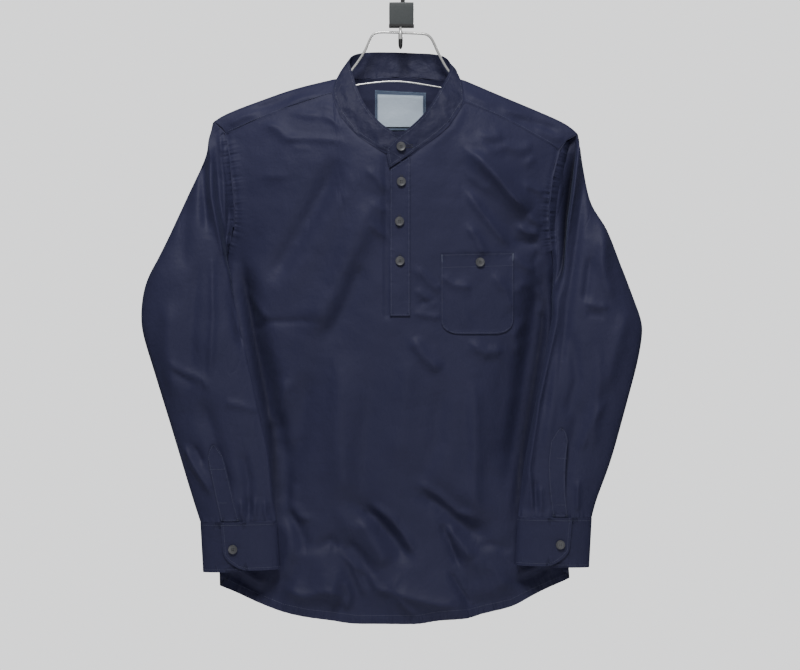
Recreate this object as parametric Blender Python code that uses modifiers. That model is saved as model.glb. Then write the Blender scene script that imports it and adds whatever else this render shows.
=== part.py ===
"""Short kurta: a band-collar pullover shirt with a half placket, hung on a wire hanger.

Sizes are in millimetres and become metres where a mesh is made. X runs to the right of the
front view, the front faces -Y, and the origin is the top of the hook's stem, where the whole
thing hangs. Every cloth piece is an open grid of points given its thickness by Solidify.
"""

import math

import bmesh
import bpy
import numpy as np
from mathutils import Matrix, Vector
from mathutils.bvhtree import BVHTree

MM = 0.001
CLOTH = 1.2  # one ply with its seam turned in
BAND_CLOTH = 1.6  # collar band and cuffs, which are interlined
TRIM_CLOTH = 1.0
LAYER_GAP = 0.4  # air between two walls that lie on each other
SEAM_GAP = 0.8  # step between two edges that are sewn together
ARMHOLE_GAP = 1.1  # the same where the two walls meet at an angle

PLACKET_LEFT = -17.0
PLACKET_RIGHT = 9.5
PLACKET_BOTTOM = -431.0
PLACKET_OVER_TOP = (-237.0, -219.2)
PLACKET_UNDER_TOP = (-218.6, -234.8)
SLOT_LEFT = -13.0
SLOT_RIGHT = 5.5
BACK_SEAM_Z = -205.0
ARMPIT_LEFT = -349.0
ARMPIT_RIGHT = -387.0

BUTTON_RADIUS = 6.0
BUTTON_THICK = 2.6
WIRE_RADIUS = 1.9
RAIL_RADIUS = 1.2

FRONT_ROWS = 25
BACK_COLUMNS = 24
BACK_ROWS = 18
RING_HALF = 10

# Shoulder line over the hanger, carried on as a crown over the neck: x, z
RIDGE = (
    (-262, -172), (-255, -168.5), (-243, -160.5), (-185, -137.7), (-142, -122.8),
    (-105, -114.2), (-85, -108.7), (-58, -97), (-8, -86), (45, -97), (76, -109.8),
    (91, -116), (142, -137.7), (181, -153.9), (224, -174), (236, -185), (245, -193),
)
# Body edges, the armhole and below it the side seam: z, x
LEFT_SIDE = (
    (-796, -246), (-679, -248.8), (-571, -249.5), (-476, -248), (-409, -244.5), (-368, -240),
    (-349, -236.5), (-317, -227), (-298, -224), (-260, -227), (-221, -231), (-184, -238),
    (-176, -247), (-168, -255),
)
RIGHT_SIDE = (
    (-784, 224), (-733, 220), (-640, 213.5), (-544, 208), (-450, 204), (-409, 203), (-390, 203),
    (-368, 202), (-355, 200.5), (-339, 197.8), (-322, 196), (-301, 194.8), (-280, 195.6),
    (-239, 200.5), (-206, 210), (-184, 234), (-176, 236),
)
# Cut edge of the hem: x, z
HEM = (
    (-246, -794), (-226, -800), (-203, -810), (-161, -825.5), (-128, -832), (-97, -836),
    (-62, -841), (20, -841), (45, -836), (89, -833), (108, -827), (146, -819.5),
    (171, -805.5), (199, -793), (224, -784),
)
# Seam of the yoke on the front: x, z
LEFT_YOKE_SEAM = ((-255, -190), (-238, -184), (-174, -157), (-94.5, -131))
RIGHT_YOKE_SEAM = ((82.8, -144), (150, -172), (210, -206), (235, -219))
# Neck seam on the front, where the band is sewn on: x, z
NECK_SEAM = (
    (-94.5, -131), (-91.4, -142), (-83.8, -161.3), (-77, -171), (-63.6, -187.3), (-50, -197.5),
    (-36.9, -205.8), (-25.4, -212.7), (-13, -219.8), (5.5, -220.8), (9.4, -218), (22.7, -207.7),
    (46, -190.6), (62.8, -175), (74.6, -155.7), (82.8, -144),
)
# Neck seam on the yoke: x, way round the shoulder from the ridge, to the front negative
YOKE_NECK = (
    (-94.5, -22.5), (-93.2, -14), (-90.5, -7), (-85.5, 0), (-77, 10), (-64, 20), (-46, 28),
    (-27, 31.2), (-8, 34), (14, 31.2), (36, 28), (54, 20), (68, 10), (76.5, 0), (80, -9),
    (82, -20), (82.8, -34),
)
# Armhole edges of the yoke: way round the shoulder, x
YOKE_LEFT = ((-27, -238), (-13, -247), (0, -255), (12, -250), (30, -241), (48, -233.8), (120, -233))
YOKE_RIGHT = ((-42, 210), (-20, 222), (0, 235), (12, 229), (24, 220), (38, 210.8), (120, 210))

# Depth of the hanging body: z, front centre, back centre, at the left and the right side
BODY_DEPTH = (
    (-850, 35, 27, 0.5, 0.5), (-700, 38, 29, 0.5, 0.5), (-550, 42, 30, 0.5, 0.5),
    (-402, 44, 31, 0.5, 0.5), (-387, 44.4, 31, 0.5, 1.6), (-365, 45, 31, 0.5, 8.5),
    (-349, 46, 31, 1.6, 11.5), (-325, 47, 31, 9, 14.5), (-290, 48, 31, 16, 16.5),
    (-245, 50, 31, 17, 17), (-205, 52, 31, 13, 13), (-170, 55, 30, 6, 6), (-100, 58, 30, 5, 5),
)
# Radius of the fold over the shoulder, back half, wider behind the neck: x, radius
BACK_ROUND = (
    (-260, 4.5), (-98, 4.5), (-85, 5), (-64, 17), (-46, 24), (-8, 25), (36, 24), (54, 17),
    (76, 5), (90, 4.5), (245, 4.5),
)
FRONT_ROUND = 4.5
RISE = 60.0  # drop from the ridge over which the body opens out
YOKE_BEND = 7.0  # way from the ridge to where the fold over the wire ends
YOKE_TURN = 12.0  # way past the ridge where the yoke's cloth lies flat again
CENTRE_X = (SLOT_LEFT + SLOT_RIGHT) / 2
# Where the yoke seam meets the armhole: x, z
PANEL_CORNERS = ((-238.0, -184.0), (210.0, -206.0))

# Main folds of the front: start x, z, end x, z, half width, height (troughs negative)
FRONT_FOLDS = (
    (-30, -225, -180, -385, 30, 5.0), (-15, -330, -120, -420, 20, -2.5),
    (-70, -465, -163, -605, 22, -4.0), (-30, -450, -90, -650, 30, 3.5),
    (40, -480, 60, -640, 30, 2.5), (20, -650, 108, -718, 14, -6.0),
    (85, -665, 122, -714, 11, 5.0), (-57, -678, 6, -741, 14, -7.0),
    (-72, -708, -22, -790, 14, 6.0), (-143, -598, -143, -690, 9, -3.0),
    (-158, -705, -160, -781, 10, 5.0), (-137, -742, -85, -776, 17, 7.0),
    (6, -757, 63, -788, 17, 6.0), (92, -742, 145, -776, 17, 6.0),
    (-132, -802, -85, -818, 9, -6.0), (-70, -768, -57, -812, 8, -4.0),
    (70, -800, 120, -806, 10, -4.0), (85, -194, 176, -305, 12, 4.0),
    (62, -231, 150, -330, 11, -3.0), (-200, -250, -150, -230, 12, 2.5),
)
# Main folds of the back, which hangs from the yoke: as above
BACK_FOLDS = (
    (-90, -240, -70, -700, 26, 4.0), (85, -240, 60, -680, 26, 4.0), (0, -260, -5, -640, 22, -4.0),
    (-150, -420, -165, -760, 18, 4.0), (140, -430, 150, -760, 18, 4.0),
    (-60, -760, 70, -772, 20, 5.0), (-190, -300, -140, -380, 16, -3.0),
    (150, -300, 110, -390, 16, -3.0),
)

# Collar band: its lower edge is a place on the neck seam (on the front x, z, on the yoke x and
# way round), its upper edge x, y, z, and last how far it stands forward where its ends lap
BAND = (
    ("front", 12, -235, 16, -47, -206, -3.4), ("front", -6, -223.6, 4, -47.5, -198, -3.0),
    ("front", -25.4, -212.7, -10.5, -48, -188.5, -1.0),
    ("front", -36.9, -205.8, -24, -47, -180, 0), ("front", -50, -197.5, -33, -45, -172, 0),
    ("front", -63.6, -187.3, -42.5, -41, -161.5, 0), ("front", -77, -171, -50.4, -35, -149.5, 0),
    ("front", -83.8, -161.3, -54.5, -31, -142, 0), ("front", -91.4, -142, -61, -23, -126, 0),
    ("yoke", -94.5, -22.5, -65.4, -15, -113, 0), ("yoke", -93.2, -14, -69, -7, -99.5, 0),
    ("yoke", -90.5, -7, -72, -1, -90.5, 0), ("yoke", -85.5, 0, -72.4, 5.5, -84, 0),
    ("yoke", -77, 10, -69.5, 12.5, -78.5, 0), ("yoke", -64, 20, -61.5, 19.5, -73.5, 0),
    ("yoke", -46, 28, -47, 24, -71, 0), ("yoke", -27, 31.2, -25, 26.5, -70.7, 0),
    ("yoke", -8, 34, -5, 27.5, -70.9, 0), ("yoke", 14, 31.2, 16, 27, -72, 0),
    ("yoke", 36, 28, 38, 24.5, -73, 0), ("yoke", 54, 20, 53.5, 19, -76, 0),
    ("yoke", 67.5, 10, 61, 12, -82.5, 0), ("yoke", 75.8, 0, 64, 5, -89.5, 0),
    ("yoke", 79.5, -9, 64, -2, -97, 0), ("yoke", 82, -20, 60.5, -9, -107.5, 0),
    ("yoke", 82.8, -34, 55, -17, -118, 0), ("front", 74.6, -155.7, 49, -26, -129.5, 0),
    ("front", 62.8, -175, 40, -35, -145.5, 0), ("front", 46, -190.6, 28, -41.5, -163.5, 0),
    ("front", 22.7, -207.7, 8, -46.5, -182.5, 0), ("front", 9.4, -218, -3.8, -48.5, -190.8, 1.2),
    ("front", -5, -227.6, -14, -49, -200, 2.0), ("front", -17.2, -236.2, -22.3, -48, -209, 2.0),
)
BAND_BULGE = 0.8  # how far the band's middle stands out
FLANK_BULGE = 2.6  # and how much more at its left and right flanks
BAND_FOOT_GAP = 0.9  # air between the band's lower edge and the neck seam

# Sleeves hanging in front of the sides. Each row is a section, from the fold beside the armhole
# to the cuff: inner edge x, y, z, outer edge x, y, z, half thickness
LEFT_SLEEVE = (
    (-237.6, -13, -352, -262, -4, -193, 17), (-237.6, -14, -353.5, -263, -5, -211, 18),
    (-237.4, -15, -356, -272.5, -7, -234, 19), (-237, -16, -360, -285.5, -9, -261, 19),
    (-236, -17.5, -366, -299.5, -12, -292, 19), (-233.5, -20, -375, -314, -15, -325, 18),
    (-231, -22, -388, -330.5, -18, -358, 17), (-227.2, -25, -405.5, -345.5, -20, -388, 16),
    (-222.5, -28, -427, -350, -22, -420, 15.5), (-217, -31, -450, -349.5, -24, -450, 15),
    (-209, -33, -484, -337, -26, -488, 14), (-201.5, -35, -515, -327, -28, -520, 13),
    (-194.2, -36, -547, -316, -29, -555, 12.5), (-187, -37, -578, -306, -31, -587, 12),
    (-180, -38, -608, -296, -33, -619, 11), (-176, -39, -640, -286.5, -35.5, -650, 10.5),
    (-172.6, -40, -673, -277, -38, -680, 10), (-168.5, -41, -703, -268.5, -40, -705, 9),
)
RIGHT_SLEEVE = (
    (205, -11, -390, 239.5, -4, -205, 17), (205.2, -12.5, -391, 241, -5, -220.5, 18),
    (205.3, -14, -393, 246.5, -8, -253, 19), (205.4, -16, -396, 252.5, -10, -283, 19),
    (205.3, -18, -400, 272, -14, -308.5, 19), (205, -20, -404, 282, -16, -334, 18),
    (204.5, -22, -409, 291, -18, -358.5, 17), (203, -25, -420, 307, -20, -404, 16),
    (200.5, -28, -434, 319.5, -22, -436, 15.5), (193.5, -31, -463, 320.5, -24, -455, 15),
    (186.7, -33, -499, 313.5, -27, -492, 14), (180, -35, -532, 305, -28.5, -523, 13),
    (173.3, -36, -565.5, 296, -30, -556, 12.5), (168, -37, -594, 287, -32, -588, 12),
    (162.5, -38, -622.5, 277, -34, -623, 11), (159, -39, -648, 266, -36.5, -652, 10.5),
    (156.4, -40, -673, 256, -38.5, -677, 10), (153.5, -41, -697.5, 250.5, -40, -698.5, 9),
)
VALLEY = 9.0  # depth of the dip between the armhole seam and the sleeve's front fold

# Plackets of the sleeves, from the pointed top down to the cuff: place along the sleeve's rows,
# and where the strip starts and ends as shares of the sleeve's width
LEFT_VENT = (
    (13.75, 0.64, 0.55), (14.1, 0.69, 0.51), (15, 0.70, 0.50), (16, 0.71, 0.49),
    (16.96, 0.72, 0.48),
)
RIGHT_VENT = (
    (12.75, 0.28, 0.39), (13.15, 0.24, 0.44), (14.2, 0.27, 0.47), (15.6, 0.36, 0.56),
    (16.96, 0.46, 0.67),
)
VENT_POINT = 5.0

# Cuffs, closed by a button. The flap laps over the other end and its lower corner is cut off
CUFF_HEIGHT = 66.0
CUFF_LIFT = 2.2  # how far the flap stands off the end below it
CUFF_DRIFT = 0.037  # sideways shift of the lower edge, as a share of the cuff's width
CUFF_FLAP_END = 0.73  # end of the flap, as a share of the width
CUFF_UNDER_END = 0.47
CUFF_FLAP_RISE = 2.0  # how much shorter the flap is than the rest of the cuff
CUFF_MITRE = ((0.42, 0.0), (0.54, 3.0), (0.66, 12.0), (0.73, 20.0))  # share of the width, rise

# Pocket: top corners x, z, bottom z, corner radius
POCKET_LEFT = 50.3
POCKET_RIGHT = 147.5
POCKET_TOP_LEFT = -348.7
POCKET_TOP_RIGHT = -346.0
POCKET_BOTTOM = -455.0
POCKET_CORNER = 22.0

# Woven label and its backing: left, right, top at the left and right, bottom
LABELS = (
    ("label_patch", -37.9, 31.6, -122.5, -126.0, -177.0),
    ("neck_label", -34.2, 27.6, -128.4, -130.6, -172.5),
)

# Buttons: the node that each is sewn to, and the place of its middle: x, z
BUTTONS = (
    ("button_band", "collar_band", -2.7, -206.8),
    ("button_placket_1", "placket_over", -2.2, -253.0),
    ("button_placket_2", "placket_over", -4.4, -305.5),
    ("button_placket_3", "placket_over", -3.8, -358.0),
    ("button_pocket", "pocket", 102.4, -359.4),
    ("button_cuff_left", "cuff_left", -224.9, -740.0),
    ("button_cuff_right", "cuff_right", 208.3, -733.7),
)

# Hanger, in the plane of the shoulder line. Neck of the wire and its handle bar: x, z
HANGER_TIP_LEFT = -242.0
HANGER_TIP_RIGHT = 221.0
ARM_STEP = 12.0
ARM_DROP = 4.0
HANDLE = (
    (-85, -113.2), (-77, -107.9), (-71, -101.5), (-66.3, -95), (-60, -87), (-51, -73),
    (-46.2, -62), (-42.5, -53), (-37.5, -48.4), (-30, -47.2), (-3, -48.2), (25, -49.4),
    (32, -50.2), (37.5, -54), (42, -62), (47.5, -75.6), (56.5, -92), (61.5, -99.5),
    (68, -107.6), (76.5, -114.9),
)
# Lower rail of the hanger, welded under the ends of the arms: x, z
RAIL = (
    (-240, -167.2), (-215, -158.5), (-185, -149.6), (-142, -137), (-105, -127.6),
    (-63, -118.8), (-12, -113.6), (47.5, -121.5), (91, -131), (142, -149.5), (181, -163.5),
    (220, -179.7),
)

# Hook that carries the hanger's bar
BLOCK_X = -1.8
BLOCK_WIDTH = 33.5
BLOCK_DEPTH = 19.0
BLOCK_TOP = -8.1
BLOCK_BOTTOM = -40.5
STEM_WIDTH = 5.8
STEM_DEPTH = 3.2
PIN_X = -3.1
PIN_Y = -6.6
PIN_NECK = 1.9
PIN_COLLAR = 3.1
PIN_COLLAR_TOP = -49.0
PIN_BOTTOM = -58.0
TIP_BOTTOM = -71.6
CROOK_RADIUS = 1.3
# Side view of the crook that passes under the bar: y, z
CROOK = ((-6.2, -54.6), (-3.4, -53.6), (0, -52.1), (2.6, -50.9), (3.7, -48.4), (3.6, -45.6))

NAVY = (0.036, 0.042, 0.085)
BUTTON_GREY = (0.11, 0.095, 0.09)
LABEL_BLUE = (0.42, 0.52, 0.62)
LABEL_EDGE = (0.11, 0.17, 0.30)
CHROME = (0.62, 0.62, 0.62)
BLOCK_GREY = (0.07, 0.08, 0.085)
TIP_BLACK = (0.015, 0.015, 0.016)


# ---------------------------------------------------------------- curves through tables
def through(table, at, column=1):
    """The table's column at `at`, on a smooth curve that never overshoots its rows."""
    rows = sorted(table)
    keys = np.array([row[0] for row in rows], float)
    values = np.array([row[column] for row in rows], float)
    at = np.clip(np.asarray(at, float), keys[0], keys[-1])
    steps = np.diff(keys)
    slopes = np.diff(values) / steps
    tangents = np.empty_like(values)
    tangents[0] = slopes[0]
    tangents[-1] = slopes[-1]
    before, after = slopes[:-1], slopes[1:]
    same = before * after > 0
    tangents[1:-1] = np.where(same, 2 * before * after / np.where(same, before + after, 1), 0)
    i = np.clip(np.searchsorted(keys, at, side="right") - 1, 0, len(steps) - 1)
    h = steps[i]
    t = (at - keys[i]) / h
    rise = t * t * (3 - 2 * t)
    return (
        values[i] * (1 - rise) + values[i + 1] * rise
        + h * (t * (1 - t) ** 2 * tangents[i] - t * t * (1 - t) * tangents[i + 1])
    )


def resample(points, shares):
    """Points at the given shares of a polyline's length."""
    points = np.asarray(points, float)
    lengths = np.linalg.norm(np.diff(points, axis=0), axis=1)
    along = np.concatenate([[0], np.cumsum(lengths)])
    wanted = np.asarray(shares, float) * along[-1]
    return np.stack([np.interp(wanted, along, points[:, k]) for k in range(3)], axis=1)


def clustered(start, end, count, at_start=True):
    """Values from start to end that lie closer together near one of the two."""
    share = 1 - np.cos(np.linspace(0, math.pi / 2, count + 1))
    if not at_start:
        share = 1 - share[::-1]
    return start + (end - start) * share


# ---------------------------------------------------------------- the hanging body
def across(x, z):
    left = through(LEFT_SIDE, z)
    right = through(RIGHT_SIDE, z)
    return np.clip(2 * (x - left) / (right - left) - 1, -1, 1)


def folds(table, x, z):
    """Forward push of soft ridges and troughs, each along a line and fading at its ends."""
    total = np.zeros(np.broadcast(x, z).shape)
    for x0, z0, x1, z1, width, height in table:
        dx, dz = x1 - x0, z1 - z0
        length = math.hypot(dx, dz)
        share = ((x - x0) * dx + (z - z0) * dz) / length**2
        off = ((x - x0) * dz - (z - z0) * dx) / length
        beyond = np.maximum(np.abs(share - 0.5) - 0.5, 0) * length
        total = total + height * np.exp(-((off / width) ** 2) - (beyond / width) ** 2)
    return total


def rounded(drop, radius):
    inside = np.minimum(drop, radius) / radius
    return radius * np.sqrt(np.maximum(1 - (1 - inside) ** 2, 0))


def depth(x, z, back):
    """Distance of the body's cloth from the hanger's plane, at x and z."""
    x = np.asarray(x, float)
    z = np.asarray(z, float)
    drop = np.maximum(through(RIDGE, x) - z, 0)
    radius = through(BACK_ROUND, x) if back else FRONT_ROUND
    u = across(x, z)
    centre = through(BODY_DEPTH, z, 2 if back else 1)
    edge = np.where(u < 0, through(BODY_DEPTH, z, 3), through(BODY_DEPTH, z, 4))
    power = np.interp(z, (-380, -320), (0.6, 1.0))
    full = edge + (centre - edge) * (1 - np.abs(u) ** 2.5) ** power
    opening = 1 - np.exp(-drop / RISE)
    shape = rounded(drop, radius) + np.where(full > radius, full - radius, 0) * opening
    shape = np.where(full > radius, shape, rounded(drop, radius) * (1 - opening) + full * opening)
    fade = (1 - np.abs(u) ** 6) * (1 - np.exp(-((drop / 70) ** 2)))
    return shape + fade * folds(BACK_FOLDS if back else FRONT_FOLDS, x, z)


def front_at(x, z, lift=0.0):
    """Points of the front's cloth, moved forward by lift."""
    x, z = np.broadcast_arrays(np.asarray(x, float), np.asarray(z, float))
    return np.stack([x, -depth(x, z, False) - lift, z], axis=-1)


def back_at(x, z, lift=0.0):
    x, z = np.broadcast_arrays(np.asarray(x, float), np.asarray(z, float))
    return np.stack([x, depth(x, z, True) + lift, z], axis=-1)


def over_shoulder(x, way):
    """A point of the yoke, at x and this way round the shoulder from its ridge."""
    back = way > 0
    radius = float(through(BACK_ROUND, x)) if back else FRONT_ROUND
    turn = abs(way) / radius
    if turn < math.pi / 2:
        drop = radius * (1 - math.cos(turn))
    else:
        drop = radius + abs(way) - radius * math.pi / 2
    z = float(through(RIDGE, x)) - drop
    y = float(depth(x, z, back))
    return np.array([x, y if back else -y, z])


def way_down(x, z, back):
    """How far round the shoulder the height z lies, at x."""
    radius = float(through(BACK_ROUND, x)) if back else FRONT_ROUND
    drop = max(float(through(RIDGE, x)) - z, 0)
    if drop < radius:
        return radius * math.acos(1 - drop / radius)
    return drop - radius + radius * math.pi / 2


# ---------------------------------------------------------------- Blender objects
def clear_scene():
    for obj in list(bpy.data.objects):
        bpy.data.objects.remove(obj, do_unlink=True)


def new_collection(name):
    found = bpy.data.collections.new(name)
    bpy.context.scene.collection.children.link(found)
    return found


def finish_of(name, color, rough, metal=0.0):
    material = bpy.data.materials.new(name)
    material.use_nodes = True
    shader = material.node_tree.nodes["Principled BSDF"]
    shader.inputs["Base Color"].default_value = (*color, 1)
    shader.inputs["Roughness"].default_value = rough
    shader.inputs["Metallic"].default_value = metal
    material.diffuse_color = (*color, 1)
    return material


def place(obj, collection, material):
    for held in list(obj.users_collection):
        held.objects.unlink(obj)
    collection.objects.link(obj)
    obj.data.materials.clear()
    obj.data.materials.append(material)
    return obj


def sheet(name, grid, thick, material, closed=False, gone=()):
    """Cloth through a grid of points in mm. Cells in `gone` are left out."""
    rows, columns = grid.shape[:2]
    mesh = bpy.data.meshes.new(name)
    work = bmesh.new()
    verts = [[work.verts.new(Vector(p) * MM) for p in row] for row in grid]
    for i in range(rows - 1):
        for j in range(columns if closed else columns - 1):
            if (i, j) in gone:
                continue
            k = (j + 1) % columns
            work.faces.new((verts[i][j], verts[i + 1][j], verts[i + 1][k], verts[i][k]))
    loose = [v for v in work.verts if not v.link_faces]
    bmesh.ops.delete(work, geom=loose, context="VERTS")
    work.to_mesh(mesh)
    work.free()
    mesh.shade_smooth()
    obj = bpy.data.objects.new(name, mesh)
    place(obj, GARMENT, material)
    wall = obj.modifiers.new("Wall", "SOLIDIFY")
    wall.thickness = thick * MM
    wall.offset = 0


def wire(name, points, radius, material):
    """A round wire through points in mm, as a curve with filled ends."""
    curve = bpy.data.curves.new(name, "CURVE")
    curve.dimensions = "3D"
    curve.bevel_depth = radius * MM
    curve.bevel_resolution = 2
    curve.use_fill_caps = True
    line = curve.splines.new("POLY")
    line.points.add(len(points) - 1)
    for spot, point in zip(line.points, points):
        spot.co = (*(Vector(point) * MM), 1)
    obj = bpy.data.objects.new(name, curve)
    place(obj, GARMENT, material)
    return obj


def turned(name, profile, location, material, steps=20):
    """A shape turned about an upright axis: profile as radius, height, from the top down."""
    mesh = bpy.data.meshes.new(name)
    work = bmesh.new()
    verts = [work.verts.new((radius * MM, 0, height * MM)) for radius, height in profile]
    for upper, lower in zip(verts, verts[1:]):
        work.edges.new((upper, lower))
    work.to_mesh(mesh)
    work.free()
    obj = bpy.data.objects.new(name, mesh)
    place(obj, GARMENT, material)
    screw = obj.modifiers.new("Turn", "SCREW")
    screw.steps = steps
    screw.render_steps = steps
    screw.use_merge_vertices = True
    screw.merge_threshold = 0.00001
    obj.location = Vector(location) * MM
    return obj


# ---------------------------------------------------------------- front and back panels
def front_columns():
    """Places of the grid's columns along the top edge, with one at each corner of it."""
    return np.concatenate([
        clustered(PANEL_CORNERS[0][0], NECK_SEAM[0][0], 10)[:-1],
        clustered(NECK_SEAM[0][0], SLOT_LEFT, 8)[:-1],
        np.linspace(SLOT_LEFT, SLOT_RIGHT, 3)[:-1],
        clustered(SLOT_RIGHT, NECK_SEAM[-1][0], 8, at_start=False)[:-1],
        clustered(NECK_SEAM[-1][0], PANEL_CORNERS[1][0], 10, at_start=False),
    ])


def front_top(x):
    """Height of the front's top edge, along the yoke seams and the neck."""
    if x <= NECK_SEAM[0][0]:
        return float(through(LEFT_YOKE_SEAM, x)) - SEAM_GAP
    if x >= NECK_SEAM[-1][0]:
        return float(through(RIGHT_YOKE_SEAM, x)) - SEAM_GAP
    return float(np.interp(x, *zip(*NECK_SEAM))) - SEAM_GAP * 0.7


def panel_x(shares, z):
    """X of a panel's columns at z. A share runs from -1 at the left side to 1 at the right."""
    left = through(LEFT_SIDE, np.minimum(z, PANEL_CORNERS[0][1]))
    right = through(RIGHT_SIDE, np.minimum(z, PANEL_CORNERS[1][1]))
    return CENTRE_X + np.where(shares < 0, CENTRE_X - left, right - CENTRE_X) * shares


def panel_shares(spots, tops):
    left = panel_x(np.full(len(spots), -1.0), tops)
    right = panel_x(np.full(len(spots), 1.0), tops)
    off = spots - CENTRE_X
    return np.where(off < 0, off / (CENTRE_X - left), off / (right - CENTRE_X))


def panel_grid(spots, tops, rows, back):
    """A panel from its top edge to the hem, between the armholes and side seams."""
    shares = panel_shares(spots, tops)
    hem_left, hem_right = HEM[0][0], HEM[-1][0]
    hem_x = CENTRE_X + np.where(shares < 0, CENTRE_X - hem_left, hem_right - CENTRE_X) * shares
    hems = through(HEM, hem_x)
    place_on = back_at if back else front_at
    heights = [tops + (hems - tops) * v for v in np.linspace(0, 1, rows + 1)]
    return np.array([place_on(panel_x(shares, z), z) for z in heights])


def make_front(material):
    spots = front_columns()
    tops = np.array([front_top(x) for x in spots])
    grid = panel_grid(spots, tops, FRONT_ROWS, False)
    first = int(np.argmin(np.abs(spots - SLOT_LEFT)))
    slot_rows = [i for i in range(FRONT_ROWS) if grid[i + 1, first, 2] > PLACKET_BOTTOM + 4]
    gone = {(i, j) for i in slot_rows for j in (first, first + 1)}
    sheet("front", grid, CLOTH, material, gone=gone)
    return grid


def make_back(material):
    tops = np.full(BACK_COLUMNS + 1, BACK_SEAM_Z - SEAM_GAP / 2)
    left = float(panel_x(np.array(-1.0), tops[0]))
    right = float(panel_x(np.array(1.0), tops[0]))
    half = BACK_COLUMNS // 2
    spots = np.concatenate([
        clustered(left, CENTRE_X, half)[:-1], clustered(CENTRE_X, right, half, at_start=False),
    ])
    grid = panel_grid(spots, tops, BACK_ROWS, True)
    sheet("back", grid, CLOTH, material)
    return grid


def yoke_x(share, way):
    """X of a yoke column where it has come this way round. A share runs from 0 to 1."""
    return float(through(YOKE_LEFT, way) * (1 - share) + through(YOKE_RIGHT, way) * share)


def yoke_column(x0):
    """The ways round the shoulder of one column's points, and their x."""
    neck_left, neck_right = YOKE_NECK[0][0], YOKE_NECK[-1][0]
    left, right = PANEL_CORNERS[0][0], PANEL_CORNERS[1][0]
    if neck_left <= x0 <= neck_right:
        start = float(np.interp(x0, *zip(*YOKE_NECK)))
    else:
        seam = LEFT_YOKE_SEAM if x0 < neck_left else RIGHT_YOKE_SEAM
        start = -way_down(x0, float(through(seam, x0)), False)
    edge_left = float(through(YOKE_LEFT, start))
    edge_right = float(through(YOKE_RIGHT, start))
    share = (x0 - edge_left) / (edge_right - edge_left)
    if math.isclose(x0, left):
        share = 0.0
    elif math.isclose(x0, right):
        share = 1.0
    end = 60.0
    for _ in range(8):
        end = way_down(yoke_x(share, end), BACK_SEAM_Z + SEAM_GAP / 2, True)
    if start < -YOKE_TURN:
        ways = [start, (start - YOKE_BEND) / 2, -YOKE_BEND, -YOKE_BEND / 2]
        ways += [0, YOKE_BEND / 2, YOKE_BEND, YOKE_TURN]
    elif start < 0:
        ways = [*np.linspace(start, 0, 5), YOKE_BEND / 2, YOKE_BEND, YOKE_TURN]
    else:
        ways = [*np.linspace(start, start + YOKE_TURN, 8)]
    ways += [*np.linspace(ways[-1], end, 4)[1:]]
    xs = [x0, *(yoke_x(share, way) for way in ways[1:])]
    return ways, xs


def make_yoke(material):
    """The yoke runs over both shoulders: from the front seams and the neck to the back seam."""
    neck = [row[0] for row in YOKE_NECK]
    spots = [
        *clustered(PANEL_CORNERS[0][0], neck[0], 9)[:-1], *neck,
        *clustered(neck[-1], PANEL_CORNERS[1][0], 8, at_start=False)[1:],
    ]
    columns = []
    for x0 in spots:
        ways, xs = yoke_column(float(x0))
        columns.append([over_shoulder(x, way) for x, way in zip(xs, ways)])
    grid = np.array(columns).transpose(1, 0, 2)
    sheet("yoke", grid, CLOTH, material)
    return grid


# ---------------------------------------------------------------- collar, plackets, pocket
class Panel:
    """The cloth of a finished panel, read where a ray along Y meets its middle surface."""

    def __init__(self, grid):
        rows, columns = grid.shape[:2]
        points = [Vector(p) for row in grid for p in row]
        cells = [
            (i * columns + j, (i + 1) * columns + j, (i + 1) * columns + j + 1, i * columns + j + 1)
            for i in range(rows - 1) for j in range(columns - 1)
        ]
        self.tree = BVHTree.FromPolygons(points, cells)

    def lay(self, xs, zs, lift):
        """Points over x and z, moved forward by lift."""
        laid = []
        for x, z in zip(*np.broadcast_arrays(xs, zs)):
            hit = self.tree.ray_cast(Vector((x, -200, z)), Vector((0, 1, 0)))[0]
            laid.append((x, hit.y - lift, z))
        return laid


def make_band(material):
    """One strip round the neck whose ends lap at the front."""
    lower, upper = [], []
    for where, a, b, x, y, z, lift in BAND:
        foot = front_at(a, b, lift) if where == "front" else over_shoulder(a, b)
        top = np.array([x, y - lift, z])
        rise = (top - foot) / np.linalg.norm(top - foot)
        lower.append(foot + rise * BAND_FOOT_GAP)
        upper.append(top)
    lower = np.array(lower)
    upper = np.array(upper)
    centre = np.array([(lower[:, 0].max() + lower[:, 0].min()) / 2, -10.0, 0])
    grid = []
    for share in (0, 0.35, 0.7, 1):
        ring = lower + (upper - lower) * share
        out = (ring - centre) * (1, 1, 0)
        out /= np.linalg.norm(out, axis=1)[:, None]
        bulges = BAND_BULGE + FLANK_BULGE * np.abs(out[:, :1]) ** 4
        grid.append(ring + out * bulges * math.sin(math.pi * share))
    sheet("collar_band", np.array(grid), BAND_CLOTH, material)


def make_plackets(panel, material):
    """Two strips over the slot, one on each face of the front, closed by the buttons."""
    lift = CLOTH + 1.5 * LAYER_GAP
    xs = np.linspace(PLACKET_LEFT, PLACKET_RIGHT, 5)
    for name, ends, side in (
        ("placket_over", PLACKET_OVER_TOP, lift), ("placket_under", PLACKET_UNDER_TOP, -lift),
    ):
        top = np.interp(xs, (PLACKET_LEFT, PLACKET_RIGHT), ends)
        heights = [top + (PLACKET_BOTTOM - top) * v for v in np.linspace(0, 1, 18)]
        sheet(name, np.array([panel.lay(xs, z, side) for z in heights]), CLOTH, material)


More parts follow.
